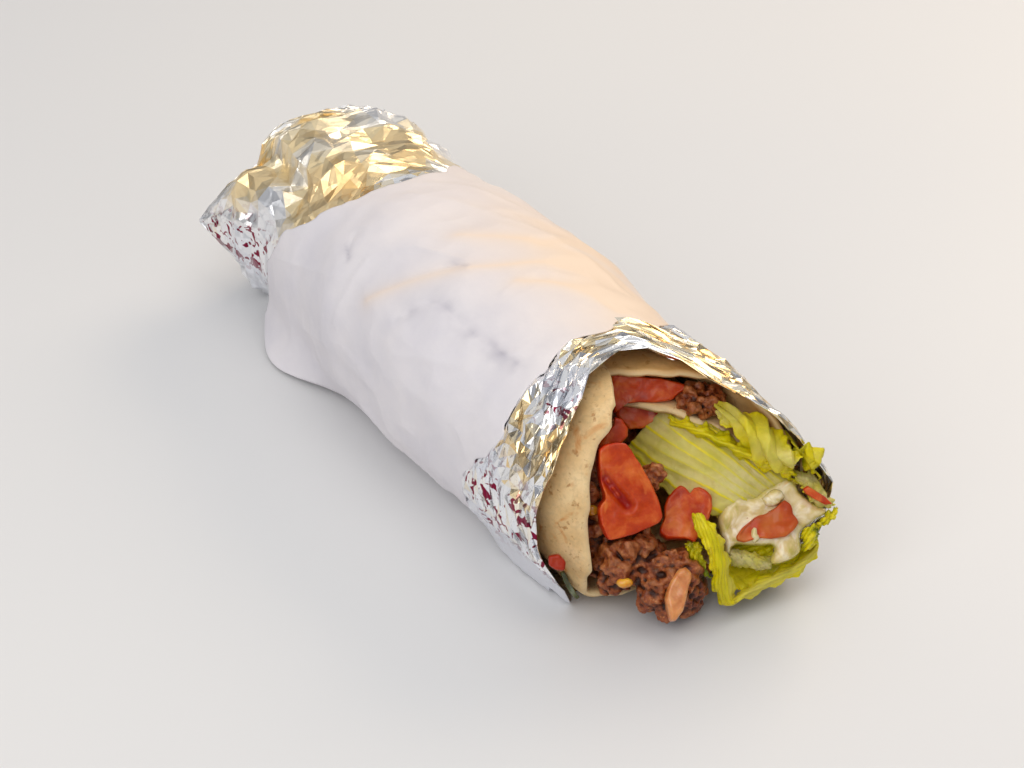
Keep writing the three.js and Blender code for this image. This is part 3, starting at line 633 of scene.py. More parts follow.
def foil_wrap():
    """Crumpled foil in flat facets, calm where its front band is plain, with painted gold reflection of warm
    light.
    """
    random = np.random.default_rng(11)
    places, faces = foil_places(random)
    angle = (FOIL_SEAM + 360 * places[:, 0] / FOIL_AROUND) % 360
    v = places[:, 1] / FOIL_ALONG
    base = foil_point(angle, v, 0 * v)
    unrolled = stacked(places[:, 0] * 0.45, places[:, 1], 0)
    ridges = 1 - 2 * np.abs(value_noise(unrolled, 4.2, 3))
    broad = value_noise(base, 16, 4)
    seam_free = smoothstep(places[:, 0], 0, 6) * smoothstep(FOIL_AROUND - places[:, 0], 0, 6)
    jitter = random.uniform(-1, 1, len(places))
    back = smoothstep(v, 0.5, 0.6)
    plain = np.clip(1.5 * bell(angle, 222, 15), 0, 1) * (v < 0.3)
    calm = 1 - 0.85 * plain
    lift = lerp(0.85, 1.0, back) * ridges + lerp(0.5, 0.6, back) * jitter + lerp(0.35, 1.1, back) * broad
    lift += back * 1.7 * (1 - 2 * np.abs(value_noise(base, 10, 8)))
    lift = np.where(v == 0, 0.5 * jitter, lift) * seam_free * calm
    for middle, width, rise in FOIL_FOLDS:
        lift += rise * bell(angle, middle, width) * back
    outer = foil_point(angle, v, lift)
    outer[:, 0] += np.where(v == 0, 0.9 * jitter * seam_free * calm, 0)
    # Painted reflection: facets turn gold in patches and where warm light would be reflected, each facet a
    # little its own way.
    patches = 0.5 + 0.5 * value_noise(base, 9, 33)
    warm = 1.25 * bell(angle, 149, 15) * (v < 0.14) + bell(angle, 55, 40) * (v < 0.2)
    warm += 0.7 * bell(angle, 100, 60) * (v > 0.5)
    gold = (patches * 0.6 + 0.42 * np.clip(warm, 0, 1)) * calm
    corners = gold[faces].mean(1) + random.uniform(-0.2, 0.2, len(faces)) * (1 - 0.85 * back[faces].mean(1))
    # Dark maroon flecks over the front band's left side and the closed end.
    maroon_flecks = bell(angle, 188, 20) * (v < 0.2) + 0.8 * bell(angle, 126, 9) * (v < 0.1)
    maroon_flecks += bell(angle, 178, 12) * (v > 0.55)
    values = {"unrolled": unrolled / 1000, "plain": plain, "soft": back}
    piece = make("foil_wrap_fine", outer, faces[:, ::-1], values, smooth=False)
    for key, values in (("painted_gold_reflection", corners), ("fleck", maroon_flecks[faces].mean(1) * 1.4)):
        layer = piece.data.attributes.new(key, "FLOAT", "FACE")
        layer.data.foreach_set("value", np.clip(values, 0, 1).astype(np.float32))
    thick = piece.modifiers.new("thickness", "SOLIDIFY")
    thick.thickness = FOIL_SHEET / 1000
    thick.offset = -1
    return piece


# ---- Tortilla ----
TORTILLA_ROWS = 90


def tortilla():
    """One spiral sheet, its last turn ending in the free inner flap."""
    turns = np.arange(SPIRAL_START, SPIRAL_END + 0.1, 3.0)
    stations = np.concatenate([turns, np.linspace(FLAP_START, FLAP_END, 24)])
    d, along = np.meshgrid(stations, np.linspace(0, 1, TORTILLA_ROWS) ** 0.5)
    edge = profile(MOUTH_EDGE, d) + 0.6 * value_noise(stacked(d / 9, 0, 0), 1.0, 41)
    x = lerp(ROLL_BACK_X, edge, along)
    curl = CURL["depth"] * bell(d, CURL["angle"], CURL["spread"])
    curl = curl * np.maximum(1 - (edge - x) / CURL["length"], 0) ** 1.5
    inset = (d - SPIRAL_START) / 360 * TORTILLA_PITCH + TORTILLA_THICKNESS / 2
    swell = MOUTH_SWELL["rise"] * bell(d, MOUTH_SWELL["angle"] + 360, MOUTH_SWELL["spread"])
    wall = roll(x, d, swell * smoothstep(x - edge, -MOUTH_SWELL["length"], 0) - inset - curl)
    size = half_width(x) / half_width(80)
    t = np.clip((d - FLAP_START) / (FLAP_END - FLAP_START), 0, 1) * (len(FLAP) - 1)
    flap = [np.interp(t, range(len(FLAP)), side) * size for side in np.transpose(FLAP)]
    middle = np.where((d > SPIRAL_END + 1)[..., None], stacked(x, *flap), wall)
    for _ in range(3):
        smooth = (middle[:, :-2] + middle[:, 1:-1] * 2 + middle[:, 2:]) / 4
        near = (np.abs(stations[1:-1] - SPIRAL_END - 5) < 26)[None, :, None]
        middle[:, 1:-1] = np.where(near, smooth, middle[:, 1:-1])
    droop = bell(d, 224, 15) * smoothstep(x - edge, -20, 0)
    middle += droop[..., None] * np.array([0, -1.4, -3.2])
    middle[..., 2] = np.maximum(middle[..., 2], 1.6)
    middle += normals_of(middle) * (0.22 * fractal(middle, 7, 2, 44))[..., None]
    points, faces = sheet(middle, TORTILLA_THICKNESS, 1.1)
    to_edge = np.clip(1 - (edge - x) / 1.2, 0, 1)
    # Painted light: the lamp's warm glow on the top turns near the mouth.
    golden = 0.6 * bell(d, 415, 50) * smoothstep(x - edge, -25, 0)
    values = {"edge": np.tile(to_edge.ravel() * 0.7, 2), "golden": np.tile(golden.ravel(), 2)}
    return make("tortilla_fine", points, faces, values)


# ---- Flat pieces cut across: tomato and dressing ----
FACE_ORIGIN = np.array([-15.0, 16.9, 0.0])
FACE_ACROSS = np.array([0.5373, 0.8434, 0.0])
FACE_UP = np.array([-0.4752, 0.3028, 0.8261])
FACE = np.stack([FACE_ACROSS, FACE_UP, np.cross(FACE_ACROSS, FACE_UP)])


def face_point(place):
    """A point from millimetres across, up and out of the cut face."""
    return FACE_ORIGIN + np.asarray(place, float) @ FACE


def turned(turn):
    """The cut face's axes, as columns, turned by degrees about each in order."""
    axes = FACE.T
    for k, angle in enumerate(np.radians(turn)):
        i, j = (k + 1) % 3, (k + 2) % 3
        spin = np.eye(3)
        spin[i, i] = spin[j, j] = math.cos(angle)
        spin[j, i] = math.sin(angle)
        spin[i, j] = -spin[j, i]
        axes = axes @ spin
    return axes


def rounded(outline, count, softness):
    """Points along a closed outline, its corners softened."""
    p = np.array(outline, float)
    closed = np.vstack([p, p[:1]])
    length = np.concatenate([[0], np.cumsum(np.linalg.norm(np.diff(closed, axis=0), axis=1))])
    at = np.linspace(0, length[-1], count, endpoint=False)
    ring = np.stack([np.interp(at, length, closed[:, k]) for k in (0, 1)], -1)
    for _ in range(int(softness * count / 10)):
        ring = (np.roll(ring, 1, 0) + 2 * ring + np.roll(ring, -1, 0)) / 4
    return ring


SLAB_COLUMNS = 132


def slab(at, outline, thickness, softness, rough, seed, turn=(0, 0, 0), bevel=0.8, dent=None):
    """A thick slice: an outline in the cut face's plane, with rounded edges and an uneven face."""
    ring = rounded(outline, SLAB_COLUMNS, softness)
    middle = ring.mean(0)
    inner = 1 - bevel / np.linalg.norm(ring - middle, axis=1).mean()
    face = [(k, 0.0) for k in np.linspace(0.015, inner, 26, endpoint=False)]
    turns = np.linspace(0, np.pi / 2, 7)
    front = [(inner + (1 - inner) * math.sin(t), -bevel * (1 - math.cos(t))) for t in turns]
    wall = [(1.0, -z) for z in np.linspace(bevel, thickness - bevel, 9)[1:-1]]
    back = [(k, -thickness - z) for k, z in front[::-1]]
    rest = [(k, -thickness) for k in np.linspace(inner, 0.015, 9)[1:]]
    steps = np.array(face + front + wall + back + rest)
    flat = middle + (ring - middle)[None] * steps[:, :1, None]
    local = stacked(flat[..., 0], flat[..., 1], steps[:, 1:])
    spread = (flat - middle) * (steps[:, :1, None] > 0.9)
    facing = np.where(steps[:, 1:] > -thickness / 2, 3.0, -3.0)
    grown = unit(stacked(spread[..., 0], spread[..., 1], facing))
    uneven = rough * fractal(local + 50 * seed, 5.0, 3, seed)
    uneven = uneven + 0.6 * rough * value_noise(local, 2.0, seed + 9)
    local = local + grown * uneven[..., None]
    if dent is not None:
        local[..., 2] += dent(local) * (steps[:, 1:] > -bevel)
    points = np.asarray(at, float) + local @ turned(turn).T
    cap = np.arange(SLAB_COLUMNS)
    faces = grid_faces(len(steps), SLAB_COLUMNS, True).tolist()
    faces += [cap[::-1].tolist(), (cap + (len(steps) - 1) * SLAB_COLUMNS).tolist()]
    return points.reshape(-1, 3), faces, local.reshape(-1, 3), np.repeat(steps[:, 0], SLAB_COLUMNS)


def groove(local):
    """The seed pocket of the large wedge, with three seeds in it."""
    start, end = np.array([-6.6, 4.0]), np.array([-0.7, -3.0])
    step = end - start
    t = np.clip(((local[..., :2] - start) @ step) / (step @ step), 0, 1)
    gap = np.linalg.norm(local[..., :2] - start - t[..., None] * step, axis=-1)
    depth = -1.5 * bell(gap, 0, 1.5) + 0.45 * bell(gap, 2.7, 0.9)
    for seed in ((-5.9, 3.5), (-4.5, 1.5), (-3.2, -0.1)):
        off = local[..., :2] - np.array(seed)
        lengthwise = off @ (step / np.linalg.norm(step))
        across = np.sqrt(np.maximum((off**2).sum(-1) - lengthwise**2, 0))
        depth = depth + bell(lengthwise, 0, 1) * bell(across, 0, 0.55)
    return depth


TOMATOES = {
    "tomato_wedge": dict(outline=[
        (-8.4, 12.1), (-6.7, 13.3), (-3.6, 13.8), (-1.2, 13.7), (0.2, 12.1), (1.9, 9.4), (4.3, 5.6),
        (6.4, 1.8), (8.1, -2.3), (9.0, -6.1), (8.1, -7.8), (4.3, -9.5), (0.9, -10.9), (-2.6, -11.9),
        (-5.6, -12.4), (-6.5, -10.9), (-7.7, -8.2), (-8.4, -4.7), (-8.1, -3.0), (-6.7, -1.5), (-6.9, 0.1),
        (-7.9, 3.5), (-8.4, 7.6),
    ], at=(96, -16, 40), thickness=7, turn=(0, 6, 0), softness=0.12, rough=0.22, dent=groove),
    "tomato_dice_right": dict(outline=[
        (-7.1, 3.8), (-6.1, 6.2), (-4.4, 8.3), (-2.6, 9.7), (-1.2, 9.0), (0, 7.4), (1.0, 9.0), (2.6, 9.4),
        (4.3, 8.6), (6.0, 6.6), (6.1, 3.5), (5.2, 0.7), (3.6, -1.8), (2.2, -4.5), (1.2, -5.9), (-0.9, -4.9),
        (-3.7, -4.9), (-6.4, -4.9), (-8.4, -3.5), (-8.2, -1.8), (-7.1, 0.7),
    ], at=(102, 0, 28.5), thickness=7, turn=(-8, 0, 0), softness=0.1, rough=0.3),
    "tomato_slab_upper": dict(outline=[
        (-10.9, 5.1), (-3.2, 4.5), (3.4, 3.9), (9.1, 2.5), (11.1, 1.4), (8.7, -0.1), (6.5, -2.0),
        (1.2, -2.8), (-3.2, -2.8), (-7.6, -3.2), (-8.7, -5.0), (-9.8, -5.9), (-10.3, -1.5), (-10.9, 2.1),
    ], at=(70.5, 7.5, 49.8), thickness=8, softness=0.15, rough=0.35),
    "tomato_dice_left": dict(outline=[
        (0, 5.9), (1.8, 5.4), (3.5, 3.0), (3.5, 0.8), (1.8, -1.1), (-1.7, -2.2), (-4.3, -3.1), (-4.5, -0.9),
        (-2.6, 1.3), (-0.4, 3.9),
    ], at=(79, -9.5, 45.5), thickness=8, softness=0.15, rough=0.3),
    "tomato_dice_middle": dict(outline=[
        (-4.6, 4.1), (-2.9, 4.5), (2.4, 4.1), (6.4, 2.7), (8.2, 1.8), (6.9, 0.1), (2.9, -2.1), (-1.1, -2.6),
        (-3.8, 0.1), (-5.1, 1.8),
    ], at=(69, 3.5, 41), thickness=7, softness=0.15, rough=0.3),
    "tomato_in_dressing": dict(outline=[
        (-8.0, -2.7), (-6.4, -0.2), (-3.3, 2.6), (-0.4, 3.6), (2.4, 4.8), (3.9, 6.1), (5.5, 7.5),
        (6.8, 6.1), (7.7, 3.6), (9.4, 1.1), (7.7, -1.1), (5.5, -2.8), (1.4, -3.3), (-1.7, -3.0),
        (-3.6, -3.6), (-5.8, -4.3), (-7.8, -3.8),
    ], at=(112.4, 17.7, 25.8), thickness=6, turn=(-6, 0, 0), softness=0.15, rough=0.45),
    "tomato_bit_left": dict(outline=[
        (-2.6, 2.0), (0.4, 2.6), (2.4, 0.4), (1.8, -2.0), (-0.5, -1.8), (-2.4, -0.6),
    ], at=(92.6, -37.0, 22.9), thickness=4, softness=2.5, rough=0.35, bevel=1.0),
}
TOMATO_STRIP = dict(outline=[
    (-3.8, 1.6), (-2.5, 2.5), (-0.6, 1.4), (2.2, -0.5), (4.3, -2.5), (2.2, -2.7), (-0.6, -1.3), (-3.1, 0.3),
], at=(83.4, -30.3, 101.5), thickness=3, softness=0.2, rough=0.25, bevel=0.8)

# Outlines of the sauce over the face, as millimetres across and up from the face's origin.
CREAM = [
    (59.2, -32.3), (60.1, -31.1), (62.6, -30.1), (65.8, -31.1), (68.9, -29.2), (71.4, -27.9), (73.3, -26.4),
    (75.5, -26.0), (77.7, -27.6), (78.7, -29.8), (80.5, -31.1), (82.7, -33.0), (85.3, -33.9), (86.8, -34.2),
    (86.2, -35.8), (83.7, -36.7), (81.5, -38.6), (79.6, -40.2), (79.0, -42.1), (79.4, -44.9), (79.0, -46.5),
    (76.5, -48.1), (73.3, -49.3), (71.4, -49.6), (70.5, -48.1), (72.0, -45.5), (71.7, -44.0), (68.9, -44.4),
    (63.9, -44.3), (61.4, -43.6), (60.4, -44.9), (59.8, -47.1), (58.5, -46.8), (57.9, -43.7), (57.0, -40.5),
    (56.3, -37.4), (57.3, -34.2),
]
CREAM_DOLLOP = [
    (68.3, -31.2), (70.2, -29.5), (72.1, -28.6), (74.0, -29.2), (74.4, -31.0), (72.9, -33.0), (71.2, -33.5),
    (69.3, -33.0),
]
CREAM_DRIP = [
    (65.4, -40.1), (66.2, -38.5), (67.1, -39.1), (67.4, -40.7), (68.0, -41.9), (66.2, -43.6), (65.2, -41.9),
]


def reach_inside(points, ring):
    """How far each point lies inside a closed ring, below 0 outside it."""
    a, b = ring, np.roll(ring, -1, 0)
    step = b - a
    t = np.clip(((points[:, None] - a) * step).sum(-1) / (step**2).sum(-1), 0, 1)
    gap = np.linalg.norm(points[:, None] - a - t[..., None] * step, axis=-1).min(1)
    x, y = points[:, 0, None], points[:, 1, None]
    crosses = (a[:, 1] > y) != (b[:, 1] > y)
    side = a[:, 0] + (y - a[:, 1]) * step[:, 0] / np.where(step[:, 1] == 0, 1e-9, step[:, 1])
    return np.where((crosses & (x < side)).sum(1) % 2, gap, -gap)


def pillow(outline, out, rise, back, rim, lumps, seed, spacing=0.6):
    """A closed dollop over the face, thin at its rim. `out` is how far out it lies, and its two slopes."""
    random = np.random.default_rng(seed)
    rough = np.array(outline, float)
    length = np.linalg.norm(np.roll(rough, -1, 0) - rough, axis=1).sum()
    ring = rounded(outline, int(length / spacing), 0.25)
    ring = ring + 0.35 * stacked(*(value_noise(stacked(*ring.T, k), 2.4, seed + k) for k in (0, 1)))
    low, high = ring.min(0), ring.max(0)
    across, up = np.meshgrid(np.arange(low[0], high[0], spacing), np.arange(low[1], high[1], spacing))
    inner = stacked(across.ravel(), up.ravel())
    inner = inner + random.uniform(-0.25, 0.25, inner.shape) * spacing
    inner = inner[reach_inside(inner, ring) > 0.5 * spacing]
    edges = [(i, (i + 1) % len(ring)) for i in range(len(ring))]
    flat, triangles = triangles_over(np.concatenate([ring, inner]), edges, 1e-6)
    share = np.clip(np.maximum(reach_inside(flat, ring), 0) / rim, 0, 1)
    share[: len(ring)] = 0
    dome = np.sqrt(1 - (1 - share) ** 2)
    wave = fractal(stacked(*flat.T, seed * 9), 4.0, 3, seed)
    level = out[0] + (flat - flat.mean(0)) @ np.array(out[1:])
    top = face_point(np.c_[flat, level + dome * (rise + lumps * wave)])
    inner_at = np.flatnonzero(share > 0)
    below = face_point(np.c_[flat, level - dome * back])[inner_at]
    renumber = np.arange(len(flat))
    renumber[inner_at] = len(flat) + np.arange(len(inner_at))
    faces = np.concatenate([triangles, renumber[triangles][:, ::-1]])
    return np.concatenate([top, below]), faces, np.r_[dome, dome[inner_at]]


# ---- Lettuce ----
def inside_foil(p):
    """Points drawn in where they would pass through the side of the foil."""
    x = p[..., 0]
    half = half_width(x)
    middle = stacked(profile(SWEEP, x), WRAPPING - SINK + HEIGHT_RATIO * half)
    flat = (p[..., 1:] - middle) / stacked(half, HEIGHT_RATIO * half)
    power = np.where(flat[..., 1] > 0, SQUARENESS_ABOVE, SQUARENESS_BELOW)
    raised = signed_power(flat, (power / 2)[..., None])
    angle = np.degrees(np.arctan2(raised[..., 1], raised[..., 0])) % 360
    front = profile(FOIL_FRONT, angle)
    out = profile(FOIL_FLARE, angle) * np.clip((x - 50) / (front - 50), 0, 1) + 0.9
    reach = (np.abs(flat) ** power[..., None]).sum(-1) ** (1 / power)
    shrink = np.where(x < front + 1, np.minimum((1 + out / half) / np.maximum(reach, 1e-6), 1), 1)
    return np.concatenate([x[..., None], middle + (p[..., 1:] - middle) * shrink[..., None]], -1)


def eased(control, count, axis):
    """Control points spread to `count` places along an axis, on a smooth curve through them."""
    p = np.moveaxis(np.asarray(control, float), axis, 0)
    p = np.concatenate([2 * p[:1] - p[1:2], p, 2 * p[-1:] - p[-2:-1]])
    at = np.linspace(0, len(p) - 3, count)
    i = np.minimum(at.astype(int), len(p) - 4)
    t = (at - i).reshape(-1, *[1] * (p.ndim - 1))
    a, b, c, d = (p[i + k] for k in range(4))
    curve = b + t * (c - a) / 2 + t**2 * (a - 2.5 * b + 2 * c - d / 2) + t**3 * (-a + 3 * b - 3 * c + d) / 2
    return np.moveaxis(curve, 0, axis)


def leaf(
    control, seed, size, tone, ruffle=0.5, waves=2, frill=0.3, pleat=0.3, pleats=3, grooves=0, margin=0.2,
    thickness=0.5, ragged=0.6,
):
    """A ruffled leaf through rows of control points along it, each (across, up, out) of the cut face."""
    middle = face_point(eased(eased(control, size[0], 0), size[1], 1))
    t, u = np.meshgrid(np.linspace(0, 1, size[0]), np.linspace(-1, 1, size[1]), indexing="ij")
    place = stacked(u * 2 + seed * 17, t * 7, 0)
    side = normals_of(middle)
    across, along = unit(np.gradient(middle, axis=1)), unit(np.gradient(middle, axis=0))
    torn = value_noise(place * (0.1, 2.6, 1), 1.0, seed)
    torn = torn + 0.6 * value_noise(place * (0.1, 7, 1), 1.0, seed + 1)
    middle = middle + across * (ragged * torn * u * u * u)[..., None]
    torn = value_noise(place * (3, 0.1, 1), 1.0, seed + 2)
    middle = middle + along * (ragged * torn * (2 * t - 1) ** 5)[..., None]
    turn = 2 * np.pi * waves * t + np.where(u > 0, 0, 1.9) + 1.6 * value_noise(place, 2.0, seed + 3)
    height = ruffle * np.abs(u) ** 1.6 * np.sin(turn) + frill * np.abs(u) ** 4 * np.sin(2.9 * turn + seed)
    fold = (pleats * (t + 0.35 * u) + 0.5 * value_noise(place, 3.0, seed + 4)) % 1
    height += pleat * (np.abs(fold - 0.5) * 4 - 1)
    height += 0.3 * fractal(place * 1.6, 1.0, 3, seed + 5)
    shaded_groove = 0 * u
    if grooves:
        line = (u * grooves / 2 + 0.9 * value_noise(place * (0.9, 0.25, 1), 1.0, seed + 6)) % 1
        depth = 0.5 + 0.5 * value_noise(place * (2.2, 0.5, 1), 1.0, seed + 8)
        shaded_groove = bell(line, 0.5, 0.055) * depth
        height += 0.13 * np.cos(2 * np.pi * line) - 0.3 * shaded_groove
    middle = inside_foil(middle + side * height[..., None])
    middle = np.clip(middle, LOW + thickness / 2, HIGH - thickness / 2)
    points, faces = sheet(middle, thickness, 0.6)
    shade = tone + margin * np.abs(u) ** 3 + 0.22 * value_noise(place, 1.5, seed + 7)
    # Painted shade: the grooves are darkened in the leaf's tone.
    shade = lerp(shade, 0.95, 0.85 * shaded_groove)
    return points, faces, np.tile(np.clip(shade, 0, 1).ravel(), 2)


# Each leaf's piece, the number of control points in a row, those points, row by row along it, and its form.
LEAVES = [
    ("lettuce_leaf_broad", 4, [
        (30.1, -19.8, 84), (36.2, -12.0, 86), (43.3, -6.9, 88), (49.9, -7.2, 89), (38.7, -27.1, 93),
        (44.6, -19.0, 95), (51.3, -13.0, 95), (56.3, -12.1, 94), (47.2, -32.6, 99), (54.3, -25.5, 99.5),
        (60.1, -19.5, 98.5), (63.8, -17.6, 97), (54.3, -35.6, 100), (61.9, -30.9, 100.5), (69.1, -27.4, 99),
        (75.3, -24.7, 97.5), (58.4, -38.5, 96), (66.0, -34.6, 97), (73.8, -30.3, 95.5), (79.4, -27.0, 95),
    ], dict(
        seed=3, size=(150, 130), tone=0.16, pleat=0.0, grooves=9, margin=0.22, thickness=0.8, ragged=0.5,
    )),
    ("lettuce_leaf_upper", 3, [
        (43.2, -8.9, 90), (43.7, -10.2, 92), (44.3, -11.4, 90), (48.6, -10.2, 93), (49.2, -12.4, 97),
        (50.2, -13.8, 94), (53.5, -11.8, 95), (54.5, -14.5, 100), (56.2, -16.5, 96), (59.1, -14.0, 97),
        (60.4, -17.5, 102), (62.1, -19.5, 98), (63.9, -17.0, 99), (66.4, -20.5, 103), (68.1, -22.8, 98),
        (70.7, -20.0, 100), (72.4, -22.7, 103), (74.4, -25.3, 98), (75.7, -22.5, 99), (77.2, -24.1, 101),
        (78.4, -25.8, 97),
    ], dict(
        seed=4, size=(170, 44), tone=0.62, ruffle=1.1, waves=6, frill=0.5, pleat=0.25, pleats=7,
        margin=0.25,
    )),
    ("lettuce_leaf_upper", 3, [
        (56.4, -8.8, 96), (56.1, -6.3, 97), (56.0, -4.4, 94), (59.8, -11.8, 99), (60.1, -8.7, 102),
        (60.7, -6.0, 98), (63.2, -15.6, 101), (63.9, -12.0, 106), (65.8, -7.7, 99), (65.9, -20.2, 102),
        (67.9, -15.7, 108), (71.2, -10.7, 100), (70.5, -23.2, 103), (72.8, -20.1, 108), (75.5, -15.9, 101),
        (75.4, -23.5, 103), (77.3, -21.8, 105.5), (78.9, -20.5, 103),
    ], dict(
        seed=5, size=(130, 80), tone=0.36, ruffle=0.7, waves=4, frill=0.4, pleat=0.9, pleats=3.5,
        margin=0.3,
    )),
    ("lettuce_leaf_right", 3, [
        (74.6, -13.2, 96), (76.2, -12.1, 97), (79.4, -9.8, 95), (76.3, -15.9, 99), (79.3, -14.4, 102),
        (83.4, -13.2, 98), (78.1, -18.9, 100), (81.2, -17.7, 103), (85.2, -17.3, 100), (79.8, -21.9, 99),
        (83.0, -21.5, 102.5), (86.4, -21.6, 100), (80.8, -24.2, 97), (83.6, -24.5, 99), (86.6, -24.9, 97),
    ], dict(
        seed=7, size=(120, 54), tone=0.6, ruffle=1.0, waves=3, frill=0.25, pleat=0.5, margin=0.25,
        ragged=0.4,
    )),
    ("lettuce_leaf_right", 3, [
        (76.6, -23.1, 95), (80.4, -24.2, 96), (83.9, -23.2, 94), (78.4, -26.9, 97), (82.1, -27.4, 98.5),
        (86.0, -26.5, 95), (80.7, -30.2, 98), (84.5, -30.7, 99), (87.8, -29.7, 96), (82.5, -33.5, 97),
        (86.2, -34.1, 98), (88.7, -33.6, 95),
    ], dict(seed=8, size=(90, 60), tone=0.2, waves=3, margin=0.25)),
    ("lettuce_leaf_lower", 3, [
        (48.4, -35.6, 107), (50.2, -35.0, 108), (51.7, -35.9, 106.5), (50.8, -41.5, 108),
        (53.1, -39.6, 109.5), (54.9, -38.6, 106.5), (53.3, -45.9, 107), (55.3, -43.9, 109),
        (57.2, -42.8, 105), (54.3, -51.3, 104), (56.8, -49.4, 107.5), (59.0, -48.1, 102),
        (55.3, -55.9, 100.5), (57.6, -54.5, 104), (60.1, -53.8, 99), (57.7, -59.7, 97), (59.8, -59.8, 99.5),
        (62.0, -58.7, 95), (64.2, -59.2, 95), (64.8, -57.4, 98), (66.3, -55.5, 93), (70.7, -56.6, 93.5),
        (71.2, -54.2, 96.5), (72.7, -51.7, 92), (76.8, -53.6, 92.5), (77.4, -51.0, 95.5), (78.6, -49.0, 91),
        (81.8, -49.5, 92), (82.2, -47.4, 94.5), (83.1, -45.4, 90), (84.4, -45.7, 91), (84.5, -43.9, 93),
        (84.2, -42.1, 90),
    ], dict(
        seed=9, size=(260, 40), tone=0.5, ruffle=0.7, waves=9, pleat=0.15, pleats=9, margin=0.15,
        thickness=0.9,
    )),
    ("lettuce_leaf_lower", 3, [
        (56.0, -42.8, 99), (57.7, -49.8, 97), (59.1, -57.2, 97), (62.4, -45.3, 93), (63.3, -51.4, 92),
        (64.6, -56.6, 94), (67.5, -46.5, 91), (68.7, -51.5, 90), (70.7, -54.2, 92.5), (73.2, -47.7, 90),
        (74.8, -49.3, 90.5), (77.5, -50.9, 91.5), (79.8, -44.1, 90), (82.0, -44.9, 90.5),
        (83.6, -45.4, 90.5),
    ], dict(seed=10, size=(110, 70), tone=0.48, waves=3, pleats=4, margin=0.1)),
    ("lettuce_leaf_lower", 3, [
        (79.6, -40.3, 99), (81.9, -38.6, 100), (84.3, -39.0, 98), (79.6, -43.1, 98), (81.7, -42.2, 100),
        (83.9, -41.8, 97), (79.9, -46.0, 95.5), (81.3, -45.6, 97.5), (83.0, -44.4, 94.5),
    ], dict(seed=12, size=(60, 40), tone=0.7, frill=0.5)),
    ("lettuce_leaf_lower", 3, [
        (82.8, -40.1, 97), (83.4, -39.0, 98.5), (84.4, -37.9, 97), (85.1, -38.4, 98), (86.4, -36.7, 99.5),
        (87.1, -35.2, 97.5), (87.9, -37.6, 98), (88.9, -36.2, 99), (89.7, -34.1, 96.5),
    ], dict(seed=13, size=(60, 40), tone=0.66, ruffle=0.6, frill=0.5)),
    ("lettuce_leaf_inner", 3, [
        (59.9, -45.1, 97), (59.8, -47.2, 99), (60.5, -49.8, 96.5), (65.4, -46.2, 97.5), (65.6, -48.3, 99),
        (66.1, -50.6, 96), (71.1, -48.2, 95.5), (71.2, -49.5, 96.5), (71.4, -51.0, 94.5),
    ], dict(seed=14, size=(90, 50), tone=0.08, ruffle=0.3, frill=0.2, pleat=0.0, thickness=1.2)),
    ("lettuce_leaf_inner", 2, [
        (59.5, -41.4, 95), (60.6, -46.5, 95.5), (66.1, -41.9, 96), (66.1, -47.9, 96), (72.7, -42.8, 95),
        (71.9, -49.1, 95),
    ], dict(seed=15, size=(90, 50), tone=0.72, waves=3, pleats=4, margin=0.1)),
    ("lettuce_shred", 2, [
        (47.5, -42.9, 103), (51.3, -43.4, 104), (48.0, -46.9, 103.5), (52.3, -47.9, 105),
        (50.3, -50.8, 102), (54.0, -52.7, 103.5),
    ], dict(seed=16, size=(70, 40), tone=0.78, frill=0.4, margin=0.1)),
]


def joined(name, parts, attributes=()):
    """Several closed skins as one piece. Each part is points, faces and the values of each attribute."""
    starts = np.cumsum([0] + [len(part[0]) for part in parts])
    faces = np.concatenate([part[1] + start for part, start in zip(parts, starts)])
    values = {key: np.concatenate([part[k] for part in parts]) for k, key in enumerate(attributes, 2)}
    return make(name, np.concatenate([part[0] for part in parts]), faces, values)


# ---- Beef ----
def ball(detail):
    """A unit sphere of triangles, split from an icosahedron."""
    g = (1 + 5**0.5) / 2
    p = [
        (-1, g, 0), (1, g, 0), (-1, -g, 0), (1, -g, 0), (0, -1, g), (0, 1, g), (0, -1, -g), (0, 1, -g),
        (g, 0, -1), (g, 0, 1), (-g, 0, -1), (-g, 0, 1),
    ]
    f = [
        (0, 11, 5), (0, 5, 1), (0, 1, 7), (0, 7, 10), (0, 10, 11), (1, 5, 9), (5, 11, 4), (11, 10, 2),
        (10, 7, 6), (7, 1, 8), (3, 9, 4), (3, 4, 2), (3, 2, 6), (3, 6, 8), (3, 8, 9), (4, 9, 5), (2, 4, 11),
        (6, 2, 10), (8, 6, 7), (9, 8, 1),
    ]
    p = [tuple(unit(np.array(q, float))) for q in p]
    for _ in range(detail):
        halves, finer = {}, []

        def half(a, b):
            key = (min(a, b), max(a, b))
            if key not in halves:
                halves[key] = len(p)
                p.append(tuple(unit((np.array(p[a]) + np.array(p[b])) / 2)))
            return halves[key]

        for a, b, c in f:
            ab, bc, ca = half(a, b), half(b, c), half(c, a)
            finer += [(a, ab, ca), (b, bc, ab), (c, ca, bc), (ab, bc, ca)]
        f = finer
    return np.array(p), np.array(f)


def spun(random):
    """A turn any way round."""
    return np.linalg.qr(random.normal(size=(3, 3)))[0]


def crumbly(points, *layers):
    """Grain of the given (depth, size) layers, the last of them in sharp furrows."""
    heights = [depth * value_noise(points, size, seed) for seed, (depth, size) in enumerate(layers, 1)]
    return sum(heights[:-1]) - np.abs(heights[-1])


